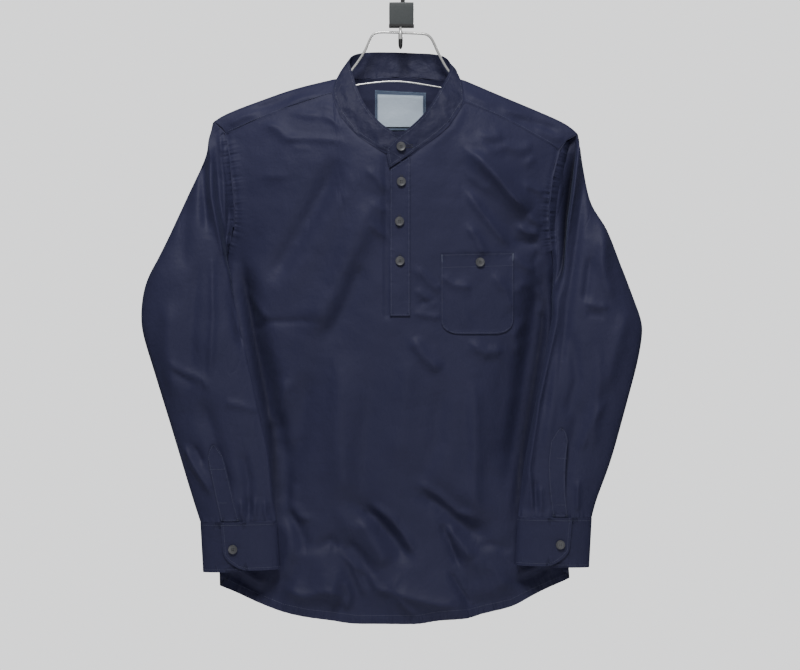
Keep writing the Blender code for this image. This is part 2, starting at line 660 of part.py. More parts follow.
def make_pocket(panel, material):
    lift = (CLOTH + TRIM_CLOTH) / 2 + 1.5 * LAYER_GAP
    xs = np.concatenate([
        clustered(POCKET_LEFT, POCKET_LEFT + POCKET_CORNER, 3),
        np.linspace(POCKET_LEFT + POCKET_CORNER, POCKET_RIGHT - POCKET_CORNER, 5)[1:-1],
        clustered(POCKET_RIGHT - POCKET_CORNER, POCKET_RIGHT, 3, at_start=False),
    ])
    top = np.interp(xs, (POCKET_LEFT, POCKET_RIGHT), (POCKET_TOP_LEFT, POCKET_TOP_RIGHT))
    inside = np.minimum(xs - POCKET_LEFT, POCKET_RIGHT - xs)
    round_in = np.clip(1 - inside / POCKET_CORNER, 0, 1)
    bottom = POCKET_BOTTOM + 0.75 * POCKET_CORNER * (1 - np.sqrt(1 - round_in**2))
    heights = [top + (bottom - top) * v for v in np.linspace(0, 1, 9)]
    grid = np.array([panel.lay(xs, z, lift) for z in heights])
    sheet("pocket", grid, TRIM_CLOTH, material)


def make_labels(panel, edge_material, face_material):
    """A bare woven label on its backing patch, on the inside of the back yoke."""
    lift = (CLOTH + TRIM_CLOTH) / 2 + LAYER_GAP
    for name, left, right, top_left, top_right, bottom in LABELS:
        xs = np.linspace(left, right, 6)
        top = np.interp(xs, (left, right), (top_left, top_right))
        heights = [top + (bottom - top) * v for v in np.linspace(0, 1, 6)]
        grid = np.array([panel.lay(xs, z, lift) for z in heights])
        sheet(name, grid, TRIM_CLOTH, edge_material if name == "label_patch" else face_material)
        lift += TRIM_CLOTH + LAYER_GAP


# ---------------------------------------------------------------- sleeves and cuffs
def armhole(front_grid, yoke_grid, back_grid, left_side, shares):
    """Points on the armhole's edge: its front half from the armpit up, and its back half."""
    side, armpit_z = (0, ARMPIT_LEFT) if left_side else (-1, ARMPIT_RIGHT)
    ridge = int(np.argmin(np.abs(yoke_grid[:, side, 1])))
    halves = []
    for grid, over in (
        (front_grid, yoke_grid[: ridge + 1, side]), (back_grid, yoke_grid[ridge:, side][::-1]),
    ):
        edge = grid[:, side]
        up = [p for p in edge[::-1] if p[2] > armpit_z]
        below = edge[len(up)]
        share = (up[0][2] - armpit_z) / (up[0][2] - below[2])
        armpit = up[0] + (below - up[0]) * share
        whole = np.array([armpit, *up, *over])
        lengths = np.linalg.norm(np.diff(whole, axis=0), axis=1)
        seam = lengths[: len(up)].sum() / lengths.sum()
        snapped = shares.copy()
        snapped[np.argmin(np.abs(shares - seam))] = seam
        halves.append(resample(whole, snapped))
    return halves


def bulge(share):
    return (1 - np.abs(2 * share - 1) ** 2.6) ** 0.55


def section(row, shares, front):
    """One side of a flattened sleeve section."""
    inner, outer = np.array(row[:3], float), np.array(row[3:6], float)
    line = inner + (outer - inner) * shares[:, None]
    line[:, 1] += row[6] * bulge(shares) * (-1 if front else 1)
    return line


def sleeve_rings(rows, panels, left_side):
    shares = 0.5 - 0.5 * np.cos(np.linspace(0, math.pi, RING_HALF + 1))
    first_front, first_back = armhole(*panels, left_side, shares)
    for edge in (first_front, first_back):
        run = np.gradient(edge, axis=0)[:, (0, 2)]
        run /= np.linalg.norm(run, axis=1)[:, None]
        side = -1.0 if left_side else 1.0
        edge[:, 0] += side * np.abs(run[:, 1]) * ARMHOLE_GAP
        edge[:, 2] -= np.abs(run[:, 0]) * ARMHOLE_GAP
    fold_front = section(rows[0], shares, True)
    fold_back = section(rows[0], shares, False)
    rings = [(first_front, first_back)]
    for share, dip in ((0.35, 1.0), (0.72, 0.35)):
        front = first_front + (fold_front - first_front) * share
        front[:, 1] += VALLEY * dip * np.sin(math.pi * shares)
        rings.append((front, first_back + (fold_back - first_back) * share))
    rings += [(section(row, shares, True), section(row, shares, False)) for row in rows]
    return np.array([np.concatenate([f, b[-2:0:-1]]) for f, b in rings])


def strip_on_sleeve(name, rows, spans, lift, material):
    """The placket of a sleeve: for each section and share its span, with a pointed top."""
    grid = []
    for at, start, end in spans:
        i = min(int(at), len(rows) - 2)
        row = np.array(rows[i]) + (np.array(rows[i + 1]) - np.array(rows[i])) * (at - i)
        line = section(row, np.linspace(start, end, 4), True)
        line[:, 1] -= lift
        grid.append(line)
    grid[0][1:3, 2] += VENT_POINT
    sheet(name, np.array(grid), TRIM_CLOTH, material)


def make_cuff(name, row, material):
    """A closed band whose flap laps over its other end and is cut off at the corner."""
    under = [CUFF_UNDER_END, 0.6, 0.72, 0.82, 0.91, 0.97]
    round_back = [1.0, 0.97, 0.9, 0.78, 0.62, 0.46, 0.3, 0.17, 0.08, 0.025]
    flap = [0.0, 0.025, 0.08, 0.18, 0.3, 0.42, 0.54, 0.66, CUFF_FLAP_END]
    steps = [(s, True, 0.0, False) for s in under]
    steps += [(s, False, 0.0, False) for s in round_back]
    steps += [(s, True, CUFF_LIFT * min(s / 0.3, 1), True) for s in flap]
    top, low = [], []
    for share, front, lift, on_flap in steps:
        point = section(row, np.array([share]), front)[0]
        point[1] -= lift
        point[2] -= LAYER_GAP
        foot = point.copy()
        foot[2] -= CUFF_HEIGHT
        foot[0] += CUFF_DRIFT * (row[0] - row[3])
        if on_flap:
            foot[2] += np.interp(share, *zip(*CUFF_MITRE)) + CUFF_FLAP_RISE
        top.append(point)
        low.append(foot)
    top, low = np.array(top), np.array(low)
    grid = np.array([top + (low - top) * v for v in (0, 0.35, 0.7, 1)])
    sheet(name, grid, BAND_CLOTH, material)


# ---------------------------------------------------------------- buttons, hanger and hook
def button(name, under, x, z, material):
    """A flat button with a raised rim and a sunk face, lying on the cloth of `under`."""
    graph = bpy.context.evaluated_depsgraph_get()
    tree = BVHTree.FromObject(under, graph)
    turns = np.linspace(0, 2 * math.pi, 17)[:-1]
    rim_spots = [(x + BUTTON_RADIUS * math.cos(t), z + BUTTON_RADIUS * math.sin(t)) for t in turns]
    hits = [tree.ray_cast(Vector((px, -200, pz)) * MM, Vector((0, 1, 0)))
            for px, pz in [(x, z), *rim_spots]]
    hits = [hit for hit in hits if hit[0]]
    normal = sum((hit[1] for hit in hits), Vector()).normalized()
    centre = hits[0][0]
    highest = max((hit[0] - centre).dot(normal) for hit in hits)
    half = BUTTON_THICK / 2
    rim = BUTTON_RADIUS
    profile = (
        (0, half - 0.5), (rim - 1.9, half - 0.5), (rim - 1.4, half), (rim - 0.5, half),
        (rim, half - 0.5), (rim, -half + 0.4), (rim - 0.7, -half), (0, -half),
    )
    obj = turned(name, profile, (0, 0, 0), material, steps=18)
    obj.location = centre + normal * (highest + (half + LAYER_GAP) * MM)
    obj.rotation_mode = "QUATERNION"
    obj.rotation_quaternion = normal.to_track_quat("Z", "Y")


def make_hanger(material):
    arm = [(x, 0, float(through(RIDGE, x)) - ARM_DROP)
           for x in np.arange(HANGER_TIP_LEFT, HANDLE[0][0] - ARM_STEP / 2, ARM_STEP)]
    neck = [(x, 0, z) for x, z in HANDLE]
    far = [(x, 0, float(through(RIDGE, x)) - ARM_DROP)
           for x in np.arange(HANGER_TIP_RIGHT, HANDLE[-1][0] + ARM_STEP / 2, -ARM_STEP)][::-1]
    wire("hanger_wire", arm + neck + far, WIRE_RADIUS, material)
    xs = np.linspace(RAIL[0][0], RAIL[-1][0], 30)
    wire("hanger_rail", [(x, 0, float(through(RAIL, x))) for x in xs], RAIL_RADIUS, material)


def make_block(name, width, depth_y, top, bottom, x, bevel, material):
    bpy.ops.mesh.primitive_cube_add(size=1, location=Vector((x, 0, (top + bottom) / 2)) * MM)
    obj = bpy.context.object
    obj.name = name
    obj.data.name = name
    obj.data.transform(Matrix.Diagonal((width * MM, depth_y * MM, (top - bottom) * MM, 1)))
    obj.data.transform(Matrix.Translation(obj.location))
    obj.location = (0, 0, 0)
    place(obj, GARMENT, material)
    edge = obj.modifiers.new("Edges", "BEVEL")
    edge.width = bevel * MM
    edge.segments = 2


def make_hook(block_material, chrome, black):
    make_block("hook_block", BLOCK_WIDTH, BLOCK_DEPTH, BLOCK_TOP, BLOCK_BOTTOM, BLOCK_X, 1.5,
               block_material)
    make_block("hook_stem", STEM_WIDTH, STEM_DEPTH, 0, BLOCK_TOP + LAYER_GAP, 0, 0.4, black)
    neck_top = BLOCK_BOTTOM - LAYER_GAP
    pin = turned(
        "hook_pin",
        ((0, neck_top), (PIN_NECK, neck_top), (PIN_NECK, PIN_COLLAR_TOP + 1.2),
         (PIN_COLLAR, PIN_COLLAR_TOP), (PIN_COLLAR, PIN_BOTTOM), (0, PIN_BOTTOM)),
        (PIN_X, PIN_Y, 0), chrome,
    )
    line = wire("crook_line", [(PIN_X, y, z) for y, z in CROOK], CROOK_RADIUS, chrome)
    bpy.context.view_layer.update()
    worked = line.evaluated_get(bpy.context.evaluated_depsgraph_get())
    mesh = bpy.data.meshes.new_from_object(worked)
    work = bmesh.new()
    work.from_mesh(mesh)
    bmesh.ops.remove_doubles(work, verts=work.verts, dist=0.00001)
    work.to_mesh(mesh)
    work.free()
    crook = bpy.data.objects.new("crook", mesh)
    crook.matrix_world = line.matrix_world
    CUTTERS.objects.link(crook)
    crook.hide_render = True
    crook.display_type = "WIRE"
    bpy.data.objects.remove(line, do_unlink=True)
    join = pin.modifiers.new("Crook", "BOOLEAN")
    join.operation = "UNION"
    join.object = crook
    top = PIN_BOTTOM - LAYER_GAP
    turned(
        "hook_tip",
        ((0, top), (PIN_COLLAR, top), (PIN_COLLAR, TIP_BOTTOM + 4), (1.2, TIP_BOTTOM + 0.4),
         (0, TIP_BOTTOM)),
        (PIN_X, PIN_Y, 0), black,
    )


# ---------------------------------------------------------------- the whole garment
clear_scene()
GARMENT = new_collection("short_kurta_on_hanger")
CUTTERS = new_collection("cutters")
cloth = finish_of("navy_cotton", NAVY, 0.62)
horn = finish_of("grey_button", BUTTON_GREY, 0.5)
label_edge = finish_of("label_backing", LABEL_EDGE, 0.8)
label_face = finish_of("label_face", LABEL_BLUE, 0.7)
chrome_wire = finish_of("chrome_wire", CHROME, 0.2, 1.0)
block_finish = finish_of("dark_block", BLOCK_GREY, 0.45)
rubber = finish_of("black_rubber", TIP_BLACK, 0.6)

front_grid = make_front(cloth)
back_grid = make_back(cloth)
yoke_grid = make_yoke(cloth)
make_band(cloth)
front_cloth = Panel(front_grid)
make_plackets(front_cloth, cloth)
make_pocket(front_cloth, cloth)
make_labels(Panel(yoke_grid), label_edge, label_face)
for side_name, sleeve_rows, vent in (
    ("left", LEFT_SLEEVE, LEFT_VENT), ("right", RIGHT_SLEEVE, RIGHT_VENT),
):
    rings = sleeve_rings(sleeve_rows, (front_grid, yoke_grid, back_grid), side_name == "left")
    sheet(f"sleeve_{side_name}", rings, CLOTH, cloth, closed=True)
    vent_lift = CLOTH / 2 + LAYER_GAP + TRIM_CLOTH / 2
    strip_on_sleeve(f"sleeve_placket_{side_name}", sleeve_rows, vent, vent_lift, cloth)
    make_cuff(f"cuff_{side_name}", sleeve_rows[-1], cloth)
for button_name, under_name, button_x, button_z in BUTTONS:
    button(button_name, bpy.data.objects[under_name], button_x, button_z, horn)
make_hanger(chrome_wire)
make_hook(block_finish, chrome_wire, rubber)
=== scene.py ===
# %% [markdown]
# # A short kurta on a wire hanger
#
# This lesson dresses a navy cotton shirt with a band collar. The solids of the garment and of
# its hanger come from the imported frame: they are right in size and place, but their cloth is
# plain. Each cloth solid is copied, made finer, creased and given a cotton finish.

# %% Load the frame
import math

import bmesh
import bpy
import numpy as np
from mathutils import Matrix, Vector
from mathutils.bvhtree import BVHTree


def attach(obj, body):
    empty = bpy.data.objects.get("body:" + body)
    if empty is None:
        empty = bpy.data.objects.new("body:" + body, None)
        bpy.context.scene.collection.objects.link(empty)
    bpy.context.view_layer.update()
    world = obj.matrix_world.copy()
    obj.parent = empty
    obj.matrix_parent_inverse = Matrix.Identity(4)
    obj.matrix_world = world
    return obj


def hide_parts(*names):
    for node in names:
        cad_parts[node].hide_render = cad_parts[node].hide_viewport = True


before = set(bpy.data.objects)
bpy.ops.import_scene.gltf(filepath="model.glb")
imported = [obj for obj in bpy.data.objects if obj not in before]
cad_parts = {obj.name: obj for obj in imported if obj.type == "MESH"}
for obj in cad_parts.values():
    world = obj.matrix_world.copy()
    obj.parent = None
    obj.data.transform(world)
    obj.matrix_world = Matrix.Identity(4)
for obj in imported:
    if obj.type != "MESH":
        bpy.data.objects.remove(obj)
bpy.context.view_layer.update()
MM = 0.001
print("nodes:", sorted(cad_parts))

# %% [markdown]
# ## The camera
#
# The photograph was taken level, from straight in front, from far enough away that the shirt
# hardly changes size with depth. One picture cell is 1.35 mm wide on the plane of the hanger,
# so a place seen in the picture turns into a place on the garment with one short sum.

# %% Camera and picture places
CELL = 1.35
CAMERA_X = -3.8
CAMERA_Z = -456.3
DISTANCE = 2600.0

camera = bpy.data.objects.new("camera", bpy.data.cameras.new("camera"))
bpy.context.scene.collection.objects.link(camera)
camera.location = (CAMERA_X * MM, -DISTANCE * MM, CAMERA_Z * MM)
camera.rotation_euler = (math.pi / 2, 0, 0)
camera.data.sensor_fit = "VERTICAL"
camera.data.sensor_height = 24
camera.data.lens = 24 * DISTANCE / (670 * CELL)
bpy.context.scene.camera = camera


def seen_at(across, down, y=-45.0):
    """X and z in mm of what the picture shows at this place, on cloth at depth y."""
    scale = CELL * (1 + y / DISTANCE)
    return CAMERA_X + (across - 400) * scale, CAMERA_Z + (335 - down) * scale


print("lens", round(camera.data.lens, 1), "mm")

# %% [markdown]
# ## Floor and light
#
# The background of the picture is a plain pale sky, and the floor lies below the view. The
# cloth itself gets much less of the sky's light: a lamp high up and a little in front rakes
# down over the folds and makes them show, as a ceiling light does in a shop. A weak low lamp
# in front keeps the cloth below the cuffs from going black, and one behind lights the back.

# %% Floor, sky and lamps
bpy.ops.object.select_all(action="DESELECT")
bpy.ops.mesh.primitive_circle_add(vertices=96, radius=1.85, fill_type="NGON", location=(0, 0, -1.25))
floor = bpy.context.object
floor.name = "floor"
pale = bpy.data.materials.new("pale_floor")
pale.use_nodes = True
pale.node_tree.nodes["Principled BSDF"].inputs["Base Color"].default_value = (0.80, 0.80, 0.81, 1)
pale.node_tree.nodes["Principled BSDF"].inputs["Roughness"].default_value = 0.9
floor.data.materials.append(pale)

SKY_SEEN = 1.50
SKY_LIGHT = 0.07
sky = bpy.data.worlds.new("sky")
bpy.context.scene.world = sky
sky.use_nodes = True
sky_nodes = sky.node_tree.nodes
sky_nodes["Background"].inputs["Color"].default_value = (0.985, 0.99, 1.0, 1)
seen = sky_nodes.new("ShaderNodeLightPath").outputs["Is Camera Ray"]
share = sky_nodes.new("ShaderNodeMapRange")
share.inputs["To Min"].default_value = SKY_LIGHT
share.inputs["To Max"].default_value = SKY_SEEN
sky.node_tree.links.new(seen, share.inputs["Value"])
sky.node_tree.links.new(share.outputs["Result"], sky_nodes["Background"].inputs["Strength"])


def add_lamp(name, place, size, power, aim=(0, 0, -0.42)):
    lamp = bpy.data.objects.new(name, bpy.data.lights.new(name, "AREA"))
    bpy.context.scene.collection.objects.link(lamp)
    lamp.data.size = size
    lamp.data.energy = power
    lamp.location = place
    lamp.rotation_euler = (Vector(aim) - Vector(place)).to_track_quat("-Z", "Y").to_euler()


add_lamp("lamp_above", (-0.2, -1.3, 1.2), 0.6, 43)
add_lamp("lamp_low", (0.4, -2.4, -1.0), 0.9, 10, (0, 0, -0.75))
add_lamp("lamp_behind", (0.7, 2.2, 0.1), 0.9, 42)

# %% [markdown]
# ## Finishes
#
# The cloth is a fine cotton, nearly without gloss and woven so closely that the threads
# hardly show. What shows is a soft unevenness, short sharp creases in some patches, a faint
# nap, and puckers where a seam has drawn the cloth up. The puckers read two numbers stored on
# each point: how far along a seam it lies, and how strongly the seam gathers it there. A third
# number says how deep in a tuck or a shaded trough the point lies; there the colour is painted
# darker, a painted shade.

# %% Shader helpers
def new_finish(name, color, rough):
    material = bpy.data.materials.new(name)
    material.use_nodes = True
    shader = material.node_tree.nodes["Principled BSDF"]
    shader.inputs["Base Color"].default_value = (*color, 1)
    shader.inputs["Roughness"].default_value = rough
    return material, material.node_tree.nodes, material.node_tree.links, shader


def noise_of(nodes, links, coordinates, scale, detail=3.0, kind="3D"):
    noise = nodes.new("ShaderNodeTexNoise")
    noise.noise_dimensions = kind
    noise.inputs["Scale"].default_value = scale
    noise.inputs["Detail"].default_value = detail
    links.new(coordinates, noise.inputs["W" if kind == "1D" else "Vector"])
    return noise.outputs["Fac"]


def bump_of(nodes, links, height, distance, before=None):
    bump = nodes.new("ShaderNodeBump")
    bump.inputs["Distance"].default_value = distance
    links.new(height, bump.inputs["Height"])
    if before:
        links.new(before.outputs["Normal"], bump.inputs["Normal"])
    return bump


def thread_waves(nodes, links, coordinates, axis, pitch):
    wave = nodes.new("ShaderNodeTexWave")
    wave.bands_direction = axis
    wave.inputs["Scale"].default_value = math.pi / (10 * pitch)
    wave.inputs["Distortion"].default_value = 0.6
    wave.inputs["Detail Scale"].default_value = 2.0
    links.new(coordinates, wave.inputs["Vector"])
    return wave.outputs["Fac"]


def product_of(nodes, links, first, second):
    product = nodes.new("ShaderNodeMath")
    product.operation = "MULTIPLY"
    links.new(first, product.inputs[0])
    links.new(second, product.inputs[1])
    return product.outputs[0]


def stored(nodes, name):
    number = nodes.new("ShaderNodeAttribute")
    number.attribute_name = name
    return number.outputs["Fac"]


def mixed(nodes, links, share, first, second):
    """A colour between two, where the first may be another node's colour."""
    mix = nodes.new("ShaderNodeMix")
    mix.data_type = "RGBA"
    if isinstance(first, tuple):
        mix.inputs["A"].default_value = (*first, 1)
    else:
        links.new(first, mix.inputs["A"])
    mix.inputs["B"].default_value = (*second, 1)
    links.new(share, mix.inputs["Factor"])
    return mix.outputs["Result"]


print("helpers for noise, bumps, threads, products, stored numbers and mixed colours")

# %% [markdown]
# Cotton's short sharp creases come from a noise stretched along one way. Where it crosses its
# middle value a thin line appears, and a coarser noise lets the lines show in patches only.
# Weave, dents, nap, creases and seam puckers are bumps laid one over the other.

# %% Cotton
WEFT_PITCH, WARP_PITCH = 0.0009, 0.0007
WEAVE_DEPTH = 0.00005
NAP_DEPTH = 0.0002
CREASE_LINE, CREASE_LINE_DEPTH = 0.035, 0.006
PUCKER_DEPTH = 0.0035


def wrinkles(nodes, links, place):
    """Short sharp creases: where a stretched noise crosses its middle value, in some patches."""
    turned = nodes.new("ShaderNodeMapping")
    turned.inputs["Rotation"].default_value = (0, math.radians(-40), 0)
    turned.inputs["Scale"].default_value = (1.9, 1.0, 0.9)
    links.new(place, turned.inputs["Vector"])
    field = noise_of(nodes, links, turned.outputs["Vector"], 11.0, 3.0)
    for operation, number in (("SUBTRACT", 0.5), ("ABSOLUTE", 0), ("MINIMUM", CREASE_LINE)):
        step = nodes.new("ShaderNodeMath")
        step.operation = operation
        step.inputs[1].default_value = number
        links.new(field, step.inputs[0])
        field = step.outputs[0]
    patches = nodes.new("ShaderNodeMapRange")
    patches.inputs["From Min"].default_value = 0.48
    patches.inputs["From Max"].default_value = 0.62
    links.new(noise_of(nodes, links, place, 6.0, 1.0), patches.inputs["Value"])
    return product_of(nodes, links, field, patches.outputs["Result"])


def cotton(name, deep, light, rough, dents=0.0016):
    """Closely woven cotton: two shades, thread waves both ways, small dents and seam puckers."""
    material, nodes, links, shader = new_finish(name, light, rough)
    place = nodes.new("ShaderNodeTexCoord").outputs["Object"]
    shade = mixed(nodes, links, noise_of(nodes, links, place, 9.0, 5.0), deep, light)
    # Painted shade: where the stored tuck number is high, the colour goes towards a fifth of the deep
    # shade.
    shadow = tuple(part * 0.2 for part in deep)
    shade = mixed(nodes, links, stored(nodes, "painted_tuck_shade"), shade, shadow)
    links.new(shade, shader.inputs["Base Color"])
    weft = thread_waves(nodes, links, place, "Z", WEFT_PITCH)
    warp = thread_waves(nodes, links, place, "X", WARP_PITCH)
    bump = bump_of(nodes, links, product_of(nodes, links, weft, warp), WEAVE_DEPTH)
    bump = bump_of(nodes, links, noise_of(nodes, links, place, 42.0, 4.0), dents, bump)
    bump = bump_of(nodes, links, noise_of(nodes, links, place, 190.0, 2.0), NAP_DEPTH, bump)
    bump = bump_of(nodes, links, wrinkles(nodes, links, place), CREASE_LINE_DEPTH, bump)
    ripple = noise_of(nodes, links, stored(nodes, "seam_along"), 130.0, 1.0, "1D")
    ripple = product_of(nodes, links, ripple, stored(nodes, "seam_gather"))
    bump = bump_of(nodes, links, ripple, PUCKER_DEPTH, bump)
    links.new(bump.outputs["Normal"], shader.inputs["Normal"])
    shader.inputs["Sheen Weight"].default_value = 0.06
    shader.inputs["Sheen Roughness"].default_value = 0.45
    shader.inputs["Sheen Tint"].default_value = (0.55, 0.62, 0.95, 1)
    shader.inputs["Specular IOR Level"].default_value = 0.13
    return material


navy = cotton("navy_cotton", (0.0240, 0.0250, 0.0580), (0.0315, 0.0320, 0.0700), 0.55)
# Painted shade: the band's cotton is the navy made darker, for the shade the band lies in.
shaded_collar_navy = cotton("collar_cotton_painted_shade", (0.0200, 0.0210, 0.0480), (0.0270, 0.0275, 0.0600), 0.55, 0.0042)
print("cotton has", len(navy.node_tree.nodes), "nodes")

# %% [markdown]
# Sewing thread has a tight twist and is a shade lighter than the cloth: partly its own colour,
# partly a painted highlight along the stitching. The woven label is pale blue satin on a darker
# blue backing. The wire is dull chrome, the hook a dark moulded block with a rubber stem and
# tip, and the buttons are grey horn with a dark rim.

# %% Thread, label, metal and mouldings
def twisted_thread(name, color):
    material, nodes, links, shader = new_finish(name, color, 0.55)
    place = nodes.new("ShaderNodeTexCoord").outputs["Object"]
    bump = bump_of(nodes, links, noise_of(nodes, links, place, 2600.0, 1.0), 0.0001)
    links.new(bump.outputs["Normal"], shader.inputs["Normal"])
    shader.inputs["Sheen Weight"].default_value = 0.2
    return material


def woven_label(name, deep, light, pitch):
    material, nodes, links, shader = new_finish(name, light, 0.45)
    place = nodes.new("ShaderNodeTexCoord").outputs["Object"]
    rib = thread_waves(nodes, links, place, "Z", pitch)
    links.new(mixed(nodes, links, rib, deep, light), shader.inputs["Base Color"])
    bump = bump_of(nodes, links, rib, 0.0001)
    bump = bump_of(nodes, links, noise_of(nodes, links, place, 70.0), 0.0006, bump)
    links.new(bump.outputs["Normal"], shader.inputs["Normal"])
    return material


def moulded(name, color, rough, grain, dent, metal=0.0):
    material, nodes, links, shader = new_finish(name, color, rough)
    shader.inputs["Metallic"].default_value = metal
    place = nodes.new("ShaderNodeTexCoord").outputs["Object"]
    texture = noise_of(nodes, links, place, grain, 4.0)
    bump = bump_of(nodes, links, texture, dent)
    links.new(bump.outputs["Normal"], shader.inputs["Normal"])
    spread = nodes.new("ShaderNodeMapRange")
    spread.inputs["To Min"].default_value = rough * 0.75
    spread.inputs["To Max"].default_value = rough * 1.3
    links.new(texture, spread.inputs["Value"])
    links.new(spread.outputs["Result"], shader.inputs["Roughness"])
    return material


# Partly painted highlight: the navy thread is lighter than the cloth, for the bright line the stitching
# catches.
stitch_thread_painted_highlight = twisted_thread("stitch_thread_painted_highlight", (0.062, 0.070, 0.125))
light_thread = twisted_thread("light_thread", (0.13, 0.15, 0.22))
dark_thread = twisted_thread("dark_thread", (0.006, 0.006, 0.010))
label_face = woven_label("label_face", (0.44, 0.54, 0.66), (0.55, 0.64, 0.76), 0.0010)
label_edge = woven_label("label_backing", (0.025, 0.045, 0.095), (0.045, 0.075, 0.14), 0.0012)
label_thread = twisted_thread("label_thread", (0.22, 0.32, 0.48))
horn = moulded("grey_button", (0.070, 0.071, 0.078), 0.40, 900.0, 0.00006)
horn_rim = moulded("dark_button_rim", (0.010, 0.010, 0.011), 0.36, 900.0, 0.00004)
chrome = moulded("chrome_wire", (0.72, 0.72, 0.71), 0.30, 400.0, 0.00002, 0.6)
block_grey = moulded("dark_block", (0.040, 0.046, 0.048), 0.45, 700.0, 0.00008)
rubber = moulded("black_rubber", (0.012, 0.012, 0.013), 0.55, 500.0, 0.00008)
print("materials:", len(bpy.data.materials))

# %% [markdown]
# ## Making a cloth piece finer
#
# A solid from the frame is a shell of loose triangles. A merged copy of it, turned back into
# four-sided faces, can be subdivided. The cut edges are creased first, so that hems and
# corners stay crisp while everything between them turns smooth.

# %% Finer copies
def only(obj):
    bpy.ops.object.select_all(action="DESELECT")
    obj.select_set(True)
    bpy.context.view_layer.objects.active = obj


def new_piece(name, corners, faces):
    """A new object from corners in metres and faces, alone selected."""
    mesh = bpy.data.meshes.new(name)
    mesh.from_pydata(corners, [], faces)
    obj = bpy.data.objects.new(name, mesh)
    bpy.context.scene.collection.objects.link(obj)
    only(obj)
    return obj


def more_rows(obj, longest):
    """Cuts the long upright edges in two, so that the faces come out nearly square."""
    only(obj)
    bpy.ops.object.mode_set(mode="EDIT")
    bpy.ops.mesh.select_mode(type="EDGE")
    bpy.ops.mesh.select_all(action="DESELECT")
    mesh = bmesh.from_edit_mesh(obj.data)
    for edge in mesh.edges:
        span = edge.verts[0].co - edge.verts[1].co
        edge.select = abs(span.z) > 0.75 * span.length and span.length > longest * MM
    bmesh.update_edit_mesh(obj.data)
    bpy.ops.mesh.subdivide(number_cuts=1)
    bpy.ops.mesh.select_mode(type="VERT")
    bpy.ops.object.mode_set(mode="OBJECT")


WALL = 2.4 * MM
WELD = 0.02 * MM


def rims_of(mesh, bend):
    """The cut edges of a shell of cloth, each as a row of places in mm and of ways outwards."""
    mesh.faces.ensure_lookup_table()
    mesh.edges.ensure_lookup_table()
    bent = [len(e.link_faces) == 2 and e.calc_face_angle() > bend for e in mesh.edges]
    across = {}
    for face in mesh.faces:
        if len(face.edges) != 4:
            continue
        ring = [loop.edge for loop in face.loops]
        for first in (0, 1):
            ends, sides = ring[first::2], ring[1 - first::2]
            if all(bent[e.index] for e in sides) and max(e.calc_length() for e in ends) < WALL:
                across[face.index] = [e.index for e in ends]
    faces_at = {}
    for face, ends in across.items():
        for end in ends:
            if not bent[end]:
                faces_at.setdefault(end, []).append(face)
    rims = []
    left = dict.fromkeys(across)
    loose = [f for f in across if any(len(faces_at.get(e, ())) < 2 for e in across[f])]
    for start in loose + list(across):
        if start not in left:
            continue
        ends = across[start]
        open_ends = [e for e in ends if len(faces_at.get(e, ())) < 2]
        came = open_ends[0] if open_ends else ends[0]
        row, ways, face = [came], [], start
        while face is not None and face in left:
            del left[face]
            pair = across[face]
            came = pair[1] if pair[0] == came else pair[0]
            row.append(came)
            ways.append(np.array(mesh.faces[face].normal))
            face = next((f for f in faces_at.get(came, ()) if f in left), None)
        middles = [sum((v.co for v in mesh.edges[e].verts), Vector()) / 2 for e in row]
        ways = [ways[0], *[(p + q) / 2 for p, q in zip(ways[:-1], ways[1:])], ways[-1]]
        rims.append((np.array(middles) / MM, np.array(ways)))
    return rims


RIMS = {}


def finer(node, name, levels, sharp=50, rows=0):
    """A copy of a node's solid in four-sided faces, made smooth between its cut edges."""
    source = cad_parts[node].data
    obj = new_piece(name, [v.co[:] for v in source.vertices],
                    [p.vertices[:] for p in source.polygons])
    bpy.ops.object.mode_set(mode="EDIT")
    bpy.ops.mesh.select_all(action="SELECT")
    bpy.ops.mesh.remove_doubles(threshold=WELD)
    bpy.ops.mesh.tris_convert_to_quads(face_threshold=math.radians(40),
                                       shape_threshold=math.radians(60))
    RIMS[name] = rims_of(bmesh.from_edit_mesh(obj.data), math.radians(sharp))
    bpy.ops.mesh.select_all(action="DESELECT")
    bpy.ops.mesh.select_mode(type="EDGE")
    bpy.ops.mesh.edges_select_sharp(sharpness=math.radians(sharp))
    bpy.ops.transform.edge_crease(value=1.0)
    bpy.ops.mesh.select_mode(type="VERT")
    bpy.ops.object.mode_set(mode="OBJECT")
    if rows:
        more_rows(obj, rows)
    smooth = obj.modifiers.new("Smooth", "SUBSURF")
    smooth.levels = levels
    smooth.render_levels = levels
    bpy.ops.object.modifier_apply(modifier="Smooth")
    bpy.ops.object.shade_smooth_by_angle(angle=math.radians(55))
    print(name, len(obj.data.polygons), "faces,", len(RIMS[name]), "cut edges")
    return obj


def points_of(obj):
    points = np.empty(len(obj.data.vertices) * 3)
    obj.data.vertices.foreach_get("co", points)
    return points.reshape(-1, 3) / MM


def set_points(obj, points):
    obj.data.vertices.foreach_set("co", (points * MM).ravel())
    obj.data.update()


def finish_piece(obj, material, slot, *nodes):
    obj.data.materials.clear()
    obj.data.materials.append(material)
    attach(obj, "root")
    if nodes:
        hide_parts(*nodes)


# %% [markdown]
# ## Creases
#
# A crease is drawn as a line on the picture, with its half width and height in mm and how
# round it is: 2 is a soft roll and 1.2 a crisp crease. Where it leans to one side, a last
# number says how much. Pushing the cloth forward along such lines gives ridges, and a negative
# height gives a trough. All are then deepened alike, until they show in soft light. A faint
# crumple under them keeps the cloth between the creases from looking ironed.

# %% Crease and pucker tools
CREASE_DEPTH = 2.7
BETWEEN_SEAMS = 50


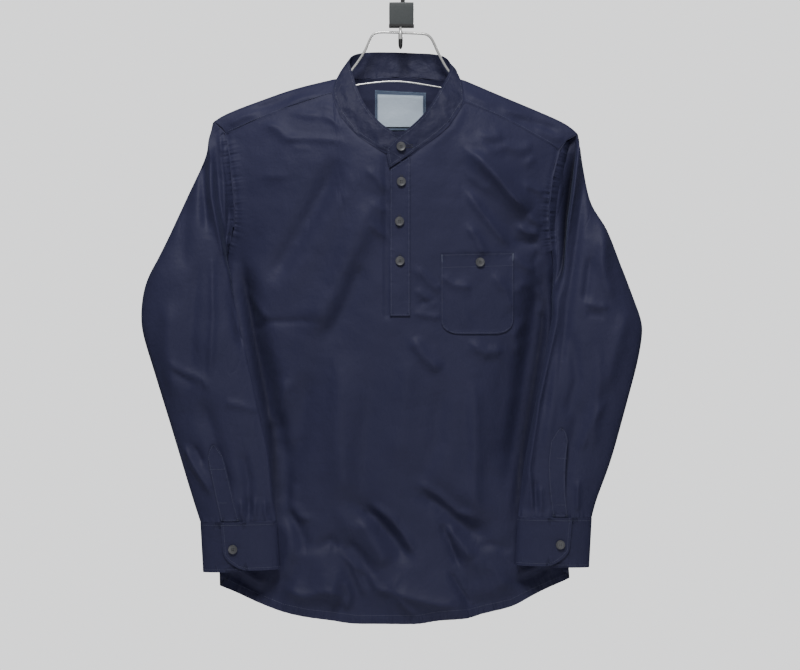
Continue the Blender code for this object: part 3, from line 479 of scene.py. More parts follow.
def creased(x, z, table):
    """Forward push in mm, at x and z in mm, of the creases in the table."""
    push = np.zeros_like(x)
    for path, width, height, crisp, *lean in table:
        lean = lean[0] if lean else 0
        places = np.array([seen_at(*p) for p in path])
        spans = np.linalg.norm(np.diff(places, axis=0), axis=1)
        best = np.full(len(x), 1e9)
        side = np.zeros(len(x))
        share = np.zeros(len(x))
        before = 0.0
        for a, b, span in zip(places[:-1], places[1:], spans):
            run = (b - a) / span
            along = (x - a[0]) * run[0] + (z - a[1]) * run[1]
            off = (x - a[0]) * run[1] - (z - a[1]) * run[0]
            beyond = np.maximum(np.maximum(-along, along - span), 0)
            reach = np.hypot(off, beyond)
            closer = reach < best
            best[closer] = reach[closer]
            side[closer] = np.sign(off[closer])
            share[closer] = (before + np.clip(along, 0, span)[closer]) / spans.sum()
            before += span
        ends = np.clip((0.5 - np.abs(share - 0.5)) / 0.28 + 0.25, 0, 1)
        away = best / width
        fall = np.exp(-(away**crisp)) * (1 - lean * side * np.minimum(away, 2))
        push += height * ends * ends * (3 - 2 * ends) * fall
    return push * CREASE_DEPTH


def crumple(x, z, size, height, seed):
    """A faint unevenness whose dents are about `size` across."""
    draw = np.random.default_rng(seed)
    push = np.zeros_like(x)
    for _ in range(14):
        turn = draw.uniform(0, math.pi)
        length = size * draw.uniform(0.6, 1.9)
        run = (x * math.cos(turn) + z * math.sin(turn)) * 2 * math.pi / length
        cross = (z * math.cos(turn) - x * math.sin(turn)) * 2 * math.pi / (length * 2.7)
        push += np.sin(run + draw.uniform(0, 6.3) + 1.4 * np.sin(cross + draw.uniform(0, 6.3)))
    return push * height / 4


def near_seams(points, seams):
    """For each point: how far along the nearest seam it lies, and its distance from it, in mm."""
    best = np.full(len(points), 1e9)
    along = np.zeros(len(points))
    start = 0.0
    for seam in seams:
        seam = np.asarray(seam, float)
        for a, b in zip(seam[:-1], seam[1:]):
            run = b - a
            length = float(np.linalg.norm(run))
            share = np.clip(((points - a) @ run) / length**2, 0, 1)
            off = np.linalg.norm(points - a - share[:, None] * run, axis=1)
            closer = off < best
            along[closer] = start + share[closer] * length
            best[closer] = off[closer]
            start += length
        start += BETWEEN_SEAMS
    return along, best


def gathered(along, off, reach, height, seed):
    """Ripples across a seam: uneven, strongest at it and gone after `reach`."""
    draw = np.random.default_rng(seed)
    wave = np.zeros_like(along)
    for _ in range(9):
        wave += np.sin(along * 2 * math.pi / draw.uniform(6.5, 17) + draw.uniform(0, 6.3))
    fade = np.clip(1 - off / (reach * (0.75 + 0.25 * np.sin(along / 9.0 + seed))), 0, 1)
    patches = 0.55 + 0.45 * np.sin(along / 23.0 + seed) * np.sin(along / 61.0 + 2 * seed)
    return wave / 3 * height * patches * fade**1.6


def store(obj, name, values):
    layer = obj.data.attributes.new(name, "FLOAT", "POINT")
    layer.data.foreach_set("value", np.asarray(values, np.float32))


def pucker(obj, points, reach, height, seed, strength=1.0, seams=None, share=1.0):
    """Stores the seam numbers for the finish and returns the forward push of the puckers."""
    seams = seams or [row for row, _ in RIMS[obj.name]]
    along, off = near_seams(points, seams)
    store(obj, "seam_along", along * MM)
    store(obj, "seam_gather", np.clip(1 - off / reach, 0, 1) ** 1.5 * strength * share)
    return gathered(along, off, reach, height, seed) * share


# %% [markdown]
# ## The seams
#
# The same seams gather both pieces that they join, so their lines are written once: the neck,
# the yoke's seams on the front, the two armholes, the hem, the placket's free side and the
# body's two sides. Each is a row of places in mm.

# %% Seam lines
def on_picture(rows, y=-45.0):
    return [(*seen_at(px, py, y)[:1], y, seen_at(px, py, y)[1]) for px, py in rows]


NECK = on_picture([(332, 93), (335, 101), (341, 114), (356, 133), (376, 147), (391, 158),
                   (392, 169), (406, 160), (421, 148), (438, 136), (451, 124), (459, 110), (464, 95)])
LEFT_YOKE = on_picture([(225, 135), (272, 115), (333, 95)], -25.0)
RIGHT_YOKE = on_picture([(464, 104), (514, 124), (559, 150)], -25.0)
LEFT_ARMHOLE = on_picture(
    [(226, 133), (230, 160), (236, 190), (237, 217), (235, 240), (229, 256)], -20.0)
RIGHT_ARMHOLE = on_picture(
    [(558, 150), (551, 180), (547, 215), (548, 240), (552, 262), (553, 284)], -20.0)
HEM_LINE = on_picture([(222, 583), (252, 597), (283, 610), (308, 615), (331, 617.5), (357, 621),
                       (418, 621), (436, 617.5), (469, 615), (483, 611), (511, 605), (530, 595),
                       (551, 586), (569, 579)], -35.0)
PLACKET_SIDE = on_picture([(386, 160), (386, 215), (386.5, 262), (387, 316)])
SIDE_LEFT = on_picture([(228, 262), (222, 580)], 0.0)
SIDE_RIGHT = on_picture([(552, 290), (569, 579)], 0.0)
print("seams written")

# %% [markdown]
# ## The creases of the front
#
# The shirt has been folded and hung, so its front carries soft diagonal drags from the
# shoulders, a few crisp press lines, and a row of tucks where the hem's stitching draws the
# cloth up. They are listed from the top down, as the picture shows them, after the two troughs
# close beside the sleeves, where the cloth lies in shade and its colour is also painted
# darker, a painted shade.

# %% Front creases
BESIDE_SLEEVES = [
    (((549, 292), (543, 340), (531, 413), (521, 473), (515, 520)), 5.5, -2.6, 1.8),
    (((241, 262), (251, 330), (261, 386), (271, 440), (277, 520)), 5.5, -2.6, 1.8),
]
FRONT_CREASES = BESIDE_SLEEVES + [
    # left shoulder and chest
    (((304, 99), (320, 102), (337, 109)), 4, 1.3, 1.4),
    (((287, 106), (302, 112), (319, 116)), 4, 1.5, 1.4),
    (((320, 112), (332, 119), (344, 128)), 4.5, 1.3, 1.5),
    (((252, 117), (274, 125), (287, 137), (298, 139)), 6, 2, 1.6),
    (((286, 137), (315, 138), (346, 141)), 4, 1.1, 1.4),
    (((290, 147), (312, 148)), 4, 0.6, 1.5),
    (((262, 175), (288, 176)), 4, 0.6, 1.5),
    (((340, 158), (316, 206), (292, 246), (268, 284)), 15, -4.6, 2),
    (((376, 196), (354, 244), (334, 290), (306, 334)), 19, 4, 2),
    (((362, 262), (344, 310), (322, 348)), 12, -1.8, 2),
    (((245, 288), (256, 305), (267, 319)), 4, 1.8, 1.4),
    (((266, 321), (284, 322), (302, 321), (318, 323)), 4, -1.1, 1.4),
    (((268, 321), (262, 326), (256, 332)), 4, -1.3, 1.5),
    (((366, 170), (378, 179), (387, 192)), 6, 1.3, 1.7),
    (((372, 204), (387, 213)), 5, 1, 1.6),
    (((370, 224), (387, 238)), 5, 1.1, 1.6),
    # right shoulder and chest
    (((478, 134), (492, 136), (503, 132)), 7, 1.8, 1.8),
    (((468, 140), (480, 142), (490, 151)), 4, 1, 1.5),
    (((486, 152), (500, 148), (513, 143)), 5, 1.2, 1.6),
    (((508, 147), (520, 149), (534, 143)), 6, 1.3, 1.7),
    (((525, 164), (536, 156)), 4, 1.1, 1.4),
    (((524, 183), (534, 187), (546, 193)), 4, 1.5, 1.4),
    (((464, 147), (480, 159), (497, 177), (512, 195), (531, 213)), 7, 2.9, 1.4),
    (((470, 152), (490, 168), (512, 194), (530, 212)), 17, 3.4, 1.9),
    (((468, 174), (480, 185), (492, 190)), 6, 0.9, 1.6),
    (((466, 190), (480, 210), (496, 230), (510, 246)), 6, 2.6, 1.5),
    (((468, 226), (478, 240), (485, 256)), 5, 1.9, 1.5),
    (((529, 216), (545, 226)), 4.5, 1.6, 1.4),
    (((518, 226), (529, 232), (541, 232)), 5.5, 2.2, 1.4),
    (((516, 240), (527, 243), (540, 240)), 6, -1.5, 1.6),
    (((513, 254), (524, 265), (538, 271)), 5.5, 1.3, 1.6),
    (((541, 250), (535, 262), (537, 276)), 4.5, -1, 1.5),
    (((515, 293), (524, 284), (533, 285)), 5, 1, 1.6),
    (((539, 286), (545, 300), (541, 316)), 5, 1.1, 1.6),
    (((414, 268), (426, 277), (440, 292)), 4.5, 1.4, 1.4),
    (((415, 289), (438, 306)), 4.5, 1.4, 1.4),
    (((417, 304), (437, 300)), 4, -1, 1.4),
    (((413, 313), (441, 318)), 4, 1.2, 1.4),
    (((412, 338), (424, 356), (441, 371)), 8, 2.4, 1.6),
    (((470, 342), (486, 353), (504, 350)), 7, 2, 1.6),
    (((526, 318), (516, 334), (520, 356)), 5, 1.5, 1.5),
    (((441, 276), (454, 285), (473, 287)), 6, 0.9, 1.6),
    (((466, 274), (459, 300), (468, 331)), 10, 0.7, 1.9),
    (((492, 274), (506, 290), (513, 312)), 7, 1, 1.6),
    # down the middle
    (((474, 378), (476, 450), (475, 518)), 9, 1.8, 1.9),
    (((541, 272), (535, 322), (523, 400), (510, 490)), 15, -6, 2),
    (((506, 360), (500, 420), (496, 470)), 12, -1.2, 2),
    (((440, 390), (436, 440), (424, 480)), 14, -1.6, 2),
    (((240, 264), (248, 305), (257, 345), (269, 395), (279, 440)), 13, -6, 2),
    (((272, 410), (282, 455), (287, 510)), 11, -3.6, 2),
    (((288, 378), (278, 404), (268, 432)), 8, 2.2, 1.8),
    (((306, 372), (300, 440), (286, 474)), 12, -1.6, 2),
    (((340, 350), (338, 430), (344, 500)), 16, 2, 2),
    (((376, 360), (366, 420), (361, 500)), 14, -1.3, 2),
    (((406, 350), (404, 400), (396, 470)), 16, 1.5, 2),
    # above the hem, from left to right
    (((294, 484), (292, 503), (300, 518), (311, 518)), 5, 2.2, 1.5),
    (((288, 512), (296, 524), (303, 540), (306, 556)), 6.5, -2.6, 1.6),
    (((287, 522), (290, 548), (283, 582)), 7.5, 2.2, 1.7),
    (((284, 588), (306, 597), (326, 592), (342, 597)), 27, 4.6, 2),
    (((284, 589), (304, 597), (326, 592), (340, 596), (347, 609)), 6.5, 2.2, 1.5),
    (((352, 564), (359, 580), (366, 597)), 5, 1.8, 1.4),
    (((344, 580), (350, 596), (346, 611)), 5, 1.6, 1.5),
    (((338, 551), (352, 564), (368, 573), (378, 589), (388, 592), (402, 573)), 4.5, 1.7, 1.4),
    (((312, 552), (330, 542), (340, 550)), 7, -1.6, 1.7),
    (((370, 503), (391, 519), (405, 537), (416, 556)), 6.5, 2.4, 1.5),
    (((362, 508), (380, 524), (394, 541), (408, 562)), 9, -2.2, 1.8),
    (((360, 518), (374, 541), (388, 567)), 12, 2.8, 1.9),
    (((345, 540), (362, 558), (374, 580)), 9, -2, 1.8),
    (((416, 481), (440, 497), (458, 513), (482, 520)), 6.5, 2.4, 1.5),
    (((420, 492), (446, 510), (462, 528), (486, 540)), 12, -2.6, 1.9),
    (((441, 524), (450, 543), (460, 568)), 5.5, -2.2, 1.5),
    (((448, 526), (462, 546), (474, 560)), 9, 2.2, 1.8),
    (((388, 592), (406, 597), (430, 603), (456, 606), (476, 603)), 25, 4.2, 2),
    (((388, 592), (406, 596), (430, 603), (456, 606)), 6, 1.9, 1.5),
    (((397, 599), (408, 609), (415, 617)), 4, 1.4, 1.4),
    (((450, 572), (461, 592), (471, 606)), 4.5, -2, 1.4),
    (((478, 556), (483, 574), (492, 598)), 4.5, 1.5, 1.4),
    (((488, 562), (498, 577), (502, 590)), 4.5, 1.2, 1.4),
    (((476, 548), (494, 546), (512, 552)), 6, -1.4, 1.7),
    (((468, 590), (490, 594), (514, 580)), 15, 2.2, 1.9),
    (((228, 575), (244, 586), (262, 598)), 5, -1.7, 1.5),
    (((232, 566), (250, 578), (264, 587)), 5.5, 1.8, 1.6),
    (((516, 585), (534, 578), (552, 569)), 5, -1.7, 1.5),
    (((520, 575), (536, 570), (549, 560)), 5.5, 1.7, 1.6),
]
print(len(FRONT_CREASES), "creases on the front")

# %% [markdown]
# The pocket, the two plackets and the buttons lie on the front and follow it, so the push is
# one function of the place, and every piece that lies there asks the same one. It dies out
# towards the seams, where the neighbouring pieces hold the cloth.

# %% The push of the front
def clear_of(points, seams, reach):
    """0 on the seams, rising to 1 at `reach` mm from them."""
    share = np.clip(near_seams(points, seams)[1] / reach, 0, 1)
    return share * share * (3 - 2 * share)


def flat_seams(*seams):
    return [[(x, 0, z) for x, _, z in seam] for seam in seams]


FRONT_EDGES = flat_seams(NECK, LEFT_YOKE, RIGHT_YOKE, LEFT_ARMHOLE, RIGHT_ARMHOLE,
                         SIDE_LEFT, SIDE_RIGHT)


def front_push(x, z):
    points = np.stack([x, np.zeros_like(x), z], axis=1)
    push = creased(x, z, FRONT_CREASES) + crumple(x, z, 95, 1.0, 3) + crumple(x, z, 28, 0.22, 4)
    return push * clear_of(points, FRONT_EDGES, 16)


def seam_dip(points, seams, width, depth):
    """The cloth rolls back a little into a seam, which leaves a shaded groove beside it."""
    return -depth * np.exp(-((near_seams(points * (1, 0, 1), flat_seams(*seams))[1] / width) ** 2))


ARMHOLE_FOOT, HEM_REGION = 256, -700


def drawn_share(points, right_top, left_top):
    """Puckers show beside the armholes, between two heights of the picture, and at the hem."""
    upper_end = np.where(points[:, 0] > 0, seen_at(550, right_top)[1], seen_at(236, left_top)[1])
    beside = np.clip((points[:, 2] - seen_at(550, ARMHOLE_FOOT)[1]) / 15, 0, 1)
    beside *= np.clip((upper_end - points[:, 2]) / 15 + 0.5, 0.15, 1)
    return np.maximum(beside, np.clip((HEM_REGION - points[:, 2]) / 30, 0, 1))


def hem_step(x, z, line, depth, rise):
    """The doubled hem: the cloth stands a little prouder below the line of its stitching."""
    edge = np.interp(x, [p[0] for p in line], [p[2] for p in line])
    share = np.clip((edge + depth - z) / 1.6 + 0.5, 0, 1)
    return rise * share


# %% [markdown]
# ## The front
#
# The front is one panel of cloth, cut open at the neck. Its solid is copied and given rows
# enough for the creases, then pushed forward by them. Close to the seams the cloth is drawn
# up in small puckers, which run across the seam.

# %% Front
front = finer("front", "front_cloth", 2, rows=14)
points = points_of(front)
drawn_up = [row for row, _ in RIMS["front_cloth"] if np.ptp(row[:, 0]) > 330 or np.ptp(row[:, 2]) > 330]
print(len(drawn_up), "edges of the front are drawn up by their stitching")
puckers = pucker(front, points, 22, 1.1, 11, seams=drawn_up, share=drawn_share(points, 176, 138))
# Painted shade: in the two troughs beside the sleeves the colour is painted darker.
store(front, "painted_tuck_shade", np.clip(-creased(points[:, 0], points[:, 2], BESIDE_SLEEVES) / 7, 0, 1) * 0.5)
points[:, 1] -= front_push(points[:, 0], points[:, 2]) + puckers
points[:, 1] -= seam_dip(points, [NECK], 3.6, 1.3) + seam_dip(points, [LEFT_YOKE, RIGHT_YOKE], 3.0, 0.7)
points[:, 1] -= seam_dip(points, [LEFT_ARMHOLE, RIGHT_ARMHOLE], 3.5, 1.0)
points[:, 1] -= seam_dip(points, [PLACKET_SIDE], 2.7, 4.0)
points[:, 1] -= hem_step(points[:, 0], points[:, 2], HEM_LINE, 8, 0.9)
set_points(front, points)
finish_piece(front, navy, "navy_cotton", "front")

# %% [markdown]
# ## The back
#
# The back hangs from the yoke's back seam. Its creases are not in the picture, so it gets a
# like set of its own: long soft falls below the shoulder blades and a few tucks at the hem.

# %% Back
BACK_CREASES = [
    (((300, 160), (296, 260), (304, 380)), 16, 2.6, 2, 0.1),
    (((340, 158), (344, 250), (332, 400)), 14, -2, 2),
    (((380, 160), (376, 280), (384, 440)), 15, 2.2, 2),
    (((430, 162), (436, 290), (426, 420)), 15, -2.1, 2),
    (((476, 160), (480, 260), (470, 380)), 16, 2.7, 2, -0.1),
    (((252, 300), (290, 350), (318, 420)), 10, 2.4, 1.8, 0.2),
    (((262, 330), (286, 372), (302, 430)), 8, -1.7, 1.8),
    (((530, 290), (500, 350), (478, 430)), 10, 2.3, 1.8, -0.2),
    (((520, 330), (504, 366), (492, 420)), 8, -1.6, 1.8),
    (((330, 400), (338, 480), (326, 560)), 12, 2, 2),
    (((420, 430), (414, 500), (422, 580)), 12, 2.1, 2),
    (((370, 470), (378, 530), (366, 596)), 9, -1.9, 1.9),
    (((464, 440), (472, 520), (462, 588)), 11, -1.8, 1.9),
    (((506, 470), (500, 530), (508, 584)), 8, 1.9, 1.8),
    (((276, 470), (282, 530), (274, 584)), 8, 1.8, 1.8),
    (((300, 200), (330, 214), (352, 240)), 5, 1.2, 1.5),
    (((446, 206), (424, 226), (412, 252)), 5, 1.1, 1.5),
    (((390, 352), (420, 362), (444, 384)), 5, 1.3, 1.5),
    (((312, 596), (326, 584), (334, 566)), 6, 1.6, 1.7),
    (((452, 598), (440, 582), (436, 560)), 6, 1.6, 1.7),
]
BACK_SEAM = flat_seams(on_picture([(236, 150), (300, 150), (400, 150), (500, 150), (552, 152)], 20.0))
BACK_EDGES = BACK_SEAM + flat_seams(LEFT_ARMHOLE, RIGHT_ARMHOLE, SIDE_LEFT, SIDE_RIGHT)

back = finer("back", "back_cloth", 3)
points = points_of(back)
puckers = pucker(back, points, 20, 0.8, 12, share=drawn_share(points, 150, 150))
push = creased(points[:, 0], points[:, 2], BACK_CREASES)
push += crumple(points[:, 0], points[:, 2], 90, 0.9, 5)
points[:, 1] += push * clear_of(points * (1, 0, 1), BACK_EDGES, 18) + puckers
points[:, 1] += hem_step(points[:, 0], points[:, 2], HEM_LINE, 11, 0.8)
set_points(back, points)
finish_piece(back, navy, "navy_cotton", "back")

# %% [markdown]
# ## The yoke
#
# The yoke lies over the hanger's shoulders and carries everything below it. It is drawn up
# by the seams on both sides, and a few short creases run from the neck to the shoulders.

# %% Yoke
YOKE_CREASES = [
    (((470, 92), (486, 101), (498, 99)), 5, 1, 1.5),
    (((503, 108), (520, 110), (534, 116)), 5, 1.1, 1.5),
    (((510, 116), (532, 119), (562, 128)), 6, -1.3, 1.6),
    (((536, 124), (556, 134), (566, 138)), 5, 1, 1.6),
    (((318, 92), (300, 96), (284, 103)), 5, 1, 1.5),
    (((298, 90), (276, 99), (250, 106)), 6, -1, 1.6),
    (((256, 110), (240, 114), (226, 122)), 5, 1.1, 1.5),
]
yoke = finer("yoke", "yoke_cloth", 2)
points = points_of(yoke)
YOKE_SEAMS = [LEFT_YOKE, RIGHT_YOKE, [(x, 22, z) for x, _, z in BACK_SEAM[0]]]
puckers = pucker(yoke, points, 6, 0.08, 13, 0.0)
shades = crumple(points[:, 0], points[:, 2] + points[:, 1], 55, 0.45, 6)
shades += creased(points[:, 0], points[:, 2], YOKE_CREASES)
outward = np.sign(points[:, 1] - 3) * clear_of(points, YOKE_SEAMS, 14)
points[:, 1] += outward * shades * np.clip(np.abs(points[:, 1] - 3) / 12, 0, 1)
points[:, 1] += np.sign(points[:, 1] - 3) * puckers
set_points(yoke, points)
finish_piece(yoke, navy, "navy_cotton", "yoke")

# %% [markdown]
# ## The sleeves
#
# Each sleeve is a flattened tube that hangs from its armhole. One long fold runs down its
# front, from the top of the shoulder to the cuff, beside a deep tuck at the armhole, and
# shorter drags cross it at the elbow. Only the front half of the tube shows in the picture;
# the back half gets its own few folds.

# %% Sleeve creases
RIGHT_TUCK = (((575, 126), (571, 158), (567, 190), (563, 218), (561, 244), (559, 268), (556, 296)),
              5.5, -7, 2.2)
LEFT_TUCK = (((226, 200), (229, 236), (238, 285), (252, 350)), 4.5, -4.2, 1.9)
LEFT_SLEEVE_CREASES = [
    LEFT_TUCK,
    (((200, 150), (202, 190), (206, 232)), 7, -3, 1.9),
    (((228, 262), (236, 310), (244, 350)), 7, -3, 1.9),
    (((170, 300), (166, 350), (176, 400)), 12, 2, 2),
    (((200, 400), (218, 450), (228, 500)), 10, -1.8, 2),
    (((206, 158), (210, 197), (218, 233), (228, 283), (245, 343), (268, 443), (276, 520)),
     5, 2.6, 1.6, 0.3),
    (((217, 127), (223, 177), (225, 243)), 4.5, 1.9, 1.6),
    (((213, 150), (217, 197), (223, 232), (236, 290)), 5, -2.6, 1.7),
    (((188, 170), (183, 220), (182, 270)), 10, -1.4, 2),
    (((211, 255), (213, 315), (210, 378)), 5, 1.5, 1.6),
    (((196, 262), (192, 320), (190, 372)), 9, -1.3, 1.9),
    (((167, 362), (184, 373), (202, 380), (211, 391)), 5, 1.2, 1.5, 0.2),
    (((172, 372), (194, 384)), 5, -0.9, 1.6),
    (((224, 402), (242, 406), (259, 411)), 4.5, 1.2, 1.6),
    (((181, 445), (196, 470), (213, 495)), 5.5, 2.3, 1.6, 0.2),
    (((193, 446), (204, 464)), 5, -1.4, 1.6),
    (((242, 452), (248, 480), (249, 512)), 7, -1.6, 1.8),
    (((242, 500), (242, 524)), 3.5, 1.3, 1.5),
    (((255, 498), (255, 525)), 3.5, 1.2, 1.5),
    (((265, 500), (266, 525)), 3.5, 1.2, 1.5),
    (((249, 498), (249, 525)), 3, -1.1, 1.5),
]
RIGHT_SLEEVE_CREASES = [
    RIGHT_TUCK,
    (((604, 232), (602, 262), (612, 300)), 9, 1.6, 1.9),
    (((560, 300), (552, 360), (544, 420)), 9, -1.4, 2),
    (((628, 310), (616, 350), (604, 392)), 10, 1.6, 2),
    (((582, 400), (570, 450), (560, 500)), 10, -1.8, 2),
    (((566, 286), (554, 337), (539, 403), (524, 503)), 5, 2.4, 1.6, -0.2),
    (((583, 132), (579, 160), (575, 190), (570, 220), (566, 246), (561, 275), (556, 312)),
     3.6, 2.3, 1.6),
    (((588, 146), (584, 190), (579, 232), (573, 276), (566, 330), (557, 388)), 6.5, -2.4, 1.8),
    (((585, 303), (598, 306), (609, 307)), 4.5, 1.2, 1.5),
    (((586, 314), (606, 316)), 5, -0.8, 1.6),
    (((592, 255), (588, 282), (585, 303)), 6, -1.6, 1.8),
    (((604, 190), (606, 240), (604, 280)), 9, 1.3, 2),
    (((572, 330), (577, 380), (566, 420)), 8, -1.5, 1.9),
    (((600, 350), (597, 400), (592, 450)), 8, 1.5, 1.9),
    (((560, 345), (552, 400), (546, 450)), 7, 1.3, 1.8),
    (((607, 400), (590, 424), (580, 452)), 5, 1.1, 1.6),
    (((530, 470), (532, 512)), 4, 1.4, 1.5),
    (((540, 486), (541, 512)), 4, 1.3, 1.5),
    (((578, 480), (577, 512)), 4, 1.3, 1.5),
    (((535, 480), (536, 512)), 3.5, -1.2, 1.5),
]
LEFT_SLEEVE_BEHIND = [
    (((200, 150), (205, 260), (214, 360)), 8, 2, 1.9),
    (((178, 340), (206, 356), (232, 382)), 6, 1.8, 1.6),
    (((186, 400), (214, 432), (232, 470)), 8, -1.5, 1.8),
    (((226, 460), (232, 500), (236, 522)), 5, 1.4, 1.6),
]
RIGHT_SLEEVE_BEHIND = [
    (((590, 150), (586, 260), (576, 360)), 8, 2, 1.9),
    (((612, 340), (588, 352), (562, 380)), 6, 1.8, 1.6),
    (((600, 400), (576, 430), (560, 470)), 8, -1.5, 1.8),
    (((560, 460), (556, 496), (554, 514)), 5, 1.4, 1.6),
]
print(len(LEFT_SLEEVE_CREASES) + len(RIGHT_SLEEVE_CREASES), "creases on the sleeves")

# %% [markdown]
# A sleeve's front half is pushed forward by its creases and its back half backward by others.
# Between the two, at the folded edges, nothing moves, so the outline of the sleeve is kept,
# and no crease is deeper than the room inside the tube. The floor of the long tuck slips a
# little sideways, under the fold beside it, and its colour is painted darker there, a painted
# shade.

# %% Sleeves
BOTH_WALLS = 4.5
SLICE = 12


def facing(points):
    """1 on the front of a flattened tube, -1 on its back and 0 at its folded edges; then the
    room for a crease inside the tube, in mm."""
    level = points[:, 2]
    marks = np.linspace(level.min(), level.max(), 40)
    lowest = np.array([points[np.abs(level - m) < SLICE, 1].min() for m in marks])
    highest = np.array([points[np.abs(level - m) < SLICE, 1].max() for m in marks])
    middle = np.interp(level, marks, (lowest + highest) / 2)
    half = np.interp(level, marks, (highest - lowest) / 2)
    off = middle - points[:, 1]
    return np.clip(off / (0.45 * half), -1, 1), np.maximum(2 * np.abs(off) - BOTH_WALLS, 0)


def close_underarm(points, at_x, at_z, shift):
    """Moves the cloth just below the armpit sideways, so that it meets the body's side seam."""
    near = np.exp(-(((points[:, 2] - at_z) / 24) ** 2) - ((points[:, 0] - at_x) / 14) ** 2)
    points[:, 0] += shift * near


def make_sleeve(node, name, ahead, behind, tuck, slip, armhole, cuff_row, underarm, seed):
    sleeve = finer(node, name, 3)
    points = points_of(sleeve)
    side, room = facing(points)
    cuff_seam = [(points[:, 0].min(), 0, cuff_row), (points[:, 0].max(), 0, cuff_row)]
    seams = flat_seams(armhole) + [cuff_seam]
    puckers = pucker(sleeve, points, 15, 0.42, seed)
    x, z = points[:, 0], points[:, 2]
    front_side = creased(x, z, ahead) + crumple(x, z, 80, 0.7, seed + 1)
    back_side = creased(x, z, behind) + crumple(x, z, 70, 0.7, seed + 2)
    push = np.maximum(np.where(side > 0, front_side, back_side), -room)
    hold = clear_of(points * (1, 0, 1), seams, 12)
    under = np.maximum(creased(x, z, [tuck]), -room) * hold * np.clip(side, 0, 1)
    points[:, 1] -= side * (push * hold + puckers)
    points[:, 0] -= slip * under
    # Painted shade: the floor of the long tuck is painted darker.
    store(sleeve, "painted_tuck_shade", np.clip(-under / 13, 0, 1) ** 1.5 * 0.9)
    close_underarm(points, *underarm)
    set_points(sleeve, points)
    finish_piece(sleeve, navy, "navy_cotton", node)
    return sleeve


sleeve_left = make_sleeve("sleeve_left", "left_sleeve_cloth",
                          LEFT_SLEEVE_CREASES, LEFT_SLEEVE_BEHIND, LEFT_TUCK, -0.2,
                          LEFT_ARMHOLE, -704, (-232, -372, 3.0), 21)
sleeve_right = make_sleeve("sleeve_right", "right_sleeve_cloth",
                           RIGHT_SLEEVE_CREASES, RIGHT_SLEEVE_BEHIND, RIGHT_TUCK, 0.4,
                           RIGHT_ARMHOLE, -697, (206, -405, -5.5), 31)

# %% [markdown]
# ## Collar band, plackets, pocket, cuffs and labels
#
# These are doubled, stiffer pieces. They keep the shape of their solids, with only a faint
# unevenness, and those that lie on the front are pushed with it.

# %% Small cloth pieces
def make_small(node, name, seed, moved=None, wobble=0.0,
               material=navy, slot="navy_cotton"):
    piece = finer(node, name, 3)
    points = points_of(piece)
    push = crumple(points[:, 0], points[:, 2], 34, wobble, seed)
    push += pucker(piece, points, 7, 0.08, seed, 0.35)
    if moved:
        push += moved(points[:, 0], points[:, 2])
    points[:, 1] -= push
    set_points(piece, points)
    finish_piece(piece, material, slot, node)
    return piece


def band_push(x, z):
    """The band is dented all over, and the free end of its tab stands a little off the placket."""
    at_x, at_z = seen_at(388, 153)
    lift = 1.5 * np.exp(-(((x - at_x) / 12) ** 2) - ((z - at_z) / 22) ** 2)
    return lift + crumple(x, z, 17, 0.5, 61)


collar = make_small("collar_band", "collar_cloth",
                    41, band_push, 0.35, shaded_collar_navy)
make_small("placket_under", "under_placket_cloth",
           42, front_push)
placket_over = make_small("placket_over", "over_placket_cloth",
                          43, front_push)
pocket = make_small("pocket", "pocket_cloth",
                    44, front_push)
cuff_left = make_small("cuff_left", "left_cuff_cloth",
                       45)
cuff_right = make_small("cuff_right", "right_cuff_cloth",
                        46)
vent_left = make_small("sleeve_placket_left", "left_vent_cloth",
                       47)
vent_right = make_small("sleeve_placket_right", "right_vent_cloth",
                        48)
patch = make_small("label_patch", "patch_cloth",
                   49, material=label_edge, slot="label_backing")
label = make_small("neck_label", "label_cloth",
                   50, material=label_face, slot="label_face")

# %% [markdown]
# ## Seam allowances
#
# Where two pieces are sewn together, each has a narrow edge turned inside. Here the pieces
# stand a little apart, so a folded tape of the same cloth is laid from each cut edge to the
# piece beside it, at the depth of the cloth. It closes the seam and leaves a fine groove.

# %% Seam allowances
LAP_BEHIND, LAP_AHEAD, HALF_TAPE = 0.8, 0.5, 0.3


def tree_of(*pieces):
    corners, faces = [], []
    for piece in pieces:
        start = len(corners)
        corners += [v.co[:] for v in piece.data.vertices]
        faces += [[start + i for i in p.vertices] for p in piece.data.polygons]
    return BVHTree.FromPolygons(corners, faces)


def tape_sections(places, cloth, widest):
    """Stretches of a tape along a cut edge, each a list of sections of four corners, in mm."""
    runs = np.gradient(places, axis=0)
    stretches, flat_before = [[]], None
    for place, run in zip(places, runs):
        hit, _, _, gap = cloth.find_nearest(Vector(place * MM), widest * MM)
        if hit is None or gap < 0.05 * MM:
            stretches.append([])
            continue
        ahead = (np.array(hit) / MM - place) / (gap / MM)
        flat = np.cross(run, ahead)
        flat /= np.linalg.norm(flat)
        if flat_before is not None and flat @ flat_before < 0:
            flat = -flat
        flat_before = flat
        near, far = place - ahead * LAP_BEHIND, np.array(hit) / MM + ahead * LAP_AHEAD
        flat = flat * HALF_TAPE
        stretches[-1].append([near + flat, far + flat, far - flat, near - flat])
    return [s for s in stretches if len(s) > 1]


def make_tapes(name, pairs):
    corners, faces = [], []
    for piece, others, widest in pairs:
        cloth = tree_of(*others)
        for places, _ in RIMS[piece.name]:
            for sections in tape_sections(places, cloth, widest):
                start = len(corners)
                corners += [corner for section in sections for corner in section]
                for i in range(len(sections) - 1):
                    a, b = start + 4 * i, start + 4 * i + 4
                    faces += [(a + k, a + (k + 1) % 4, b + (k + 1) % 4, b + k) for k in range(4)]
                end = start + 4 * len(sections) - 4
                faces += [(start + 3, start + 2, start + 1, start), (end, end + 1, end + 2, end + 3)]
    tapes = new_piece(name, np.array(corners) * MM, faces)
    bpy.ops.object.mode_set(mode="EDIT")
    bpy.ops.mesh.select_all(action="SELECT")
    bpy.ops.mesh.normals_make_consistent(inside=False)
    bpy.ops.object.mode_set(mode="OBJECT")
    finish_piece(tapes, navy, "navy_cotton")
    print(name, len(faces), "faces")


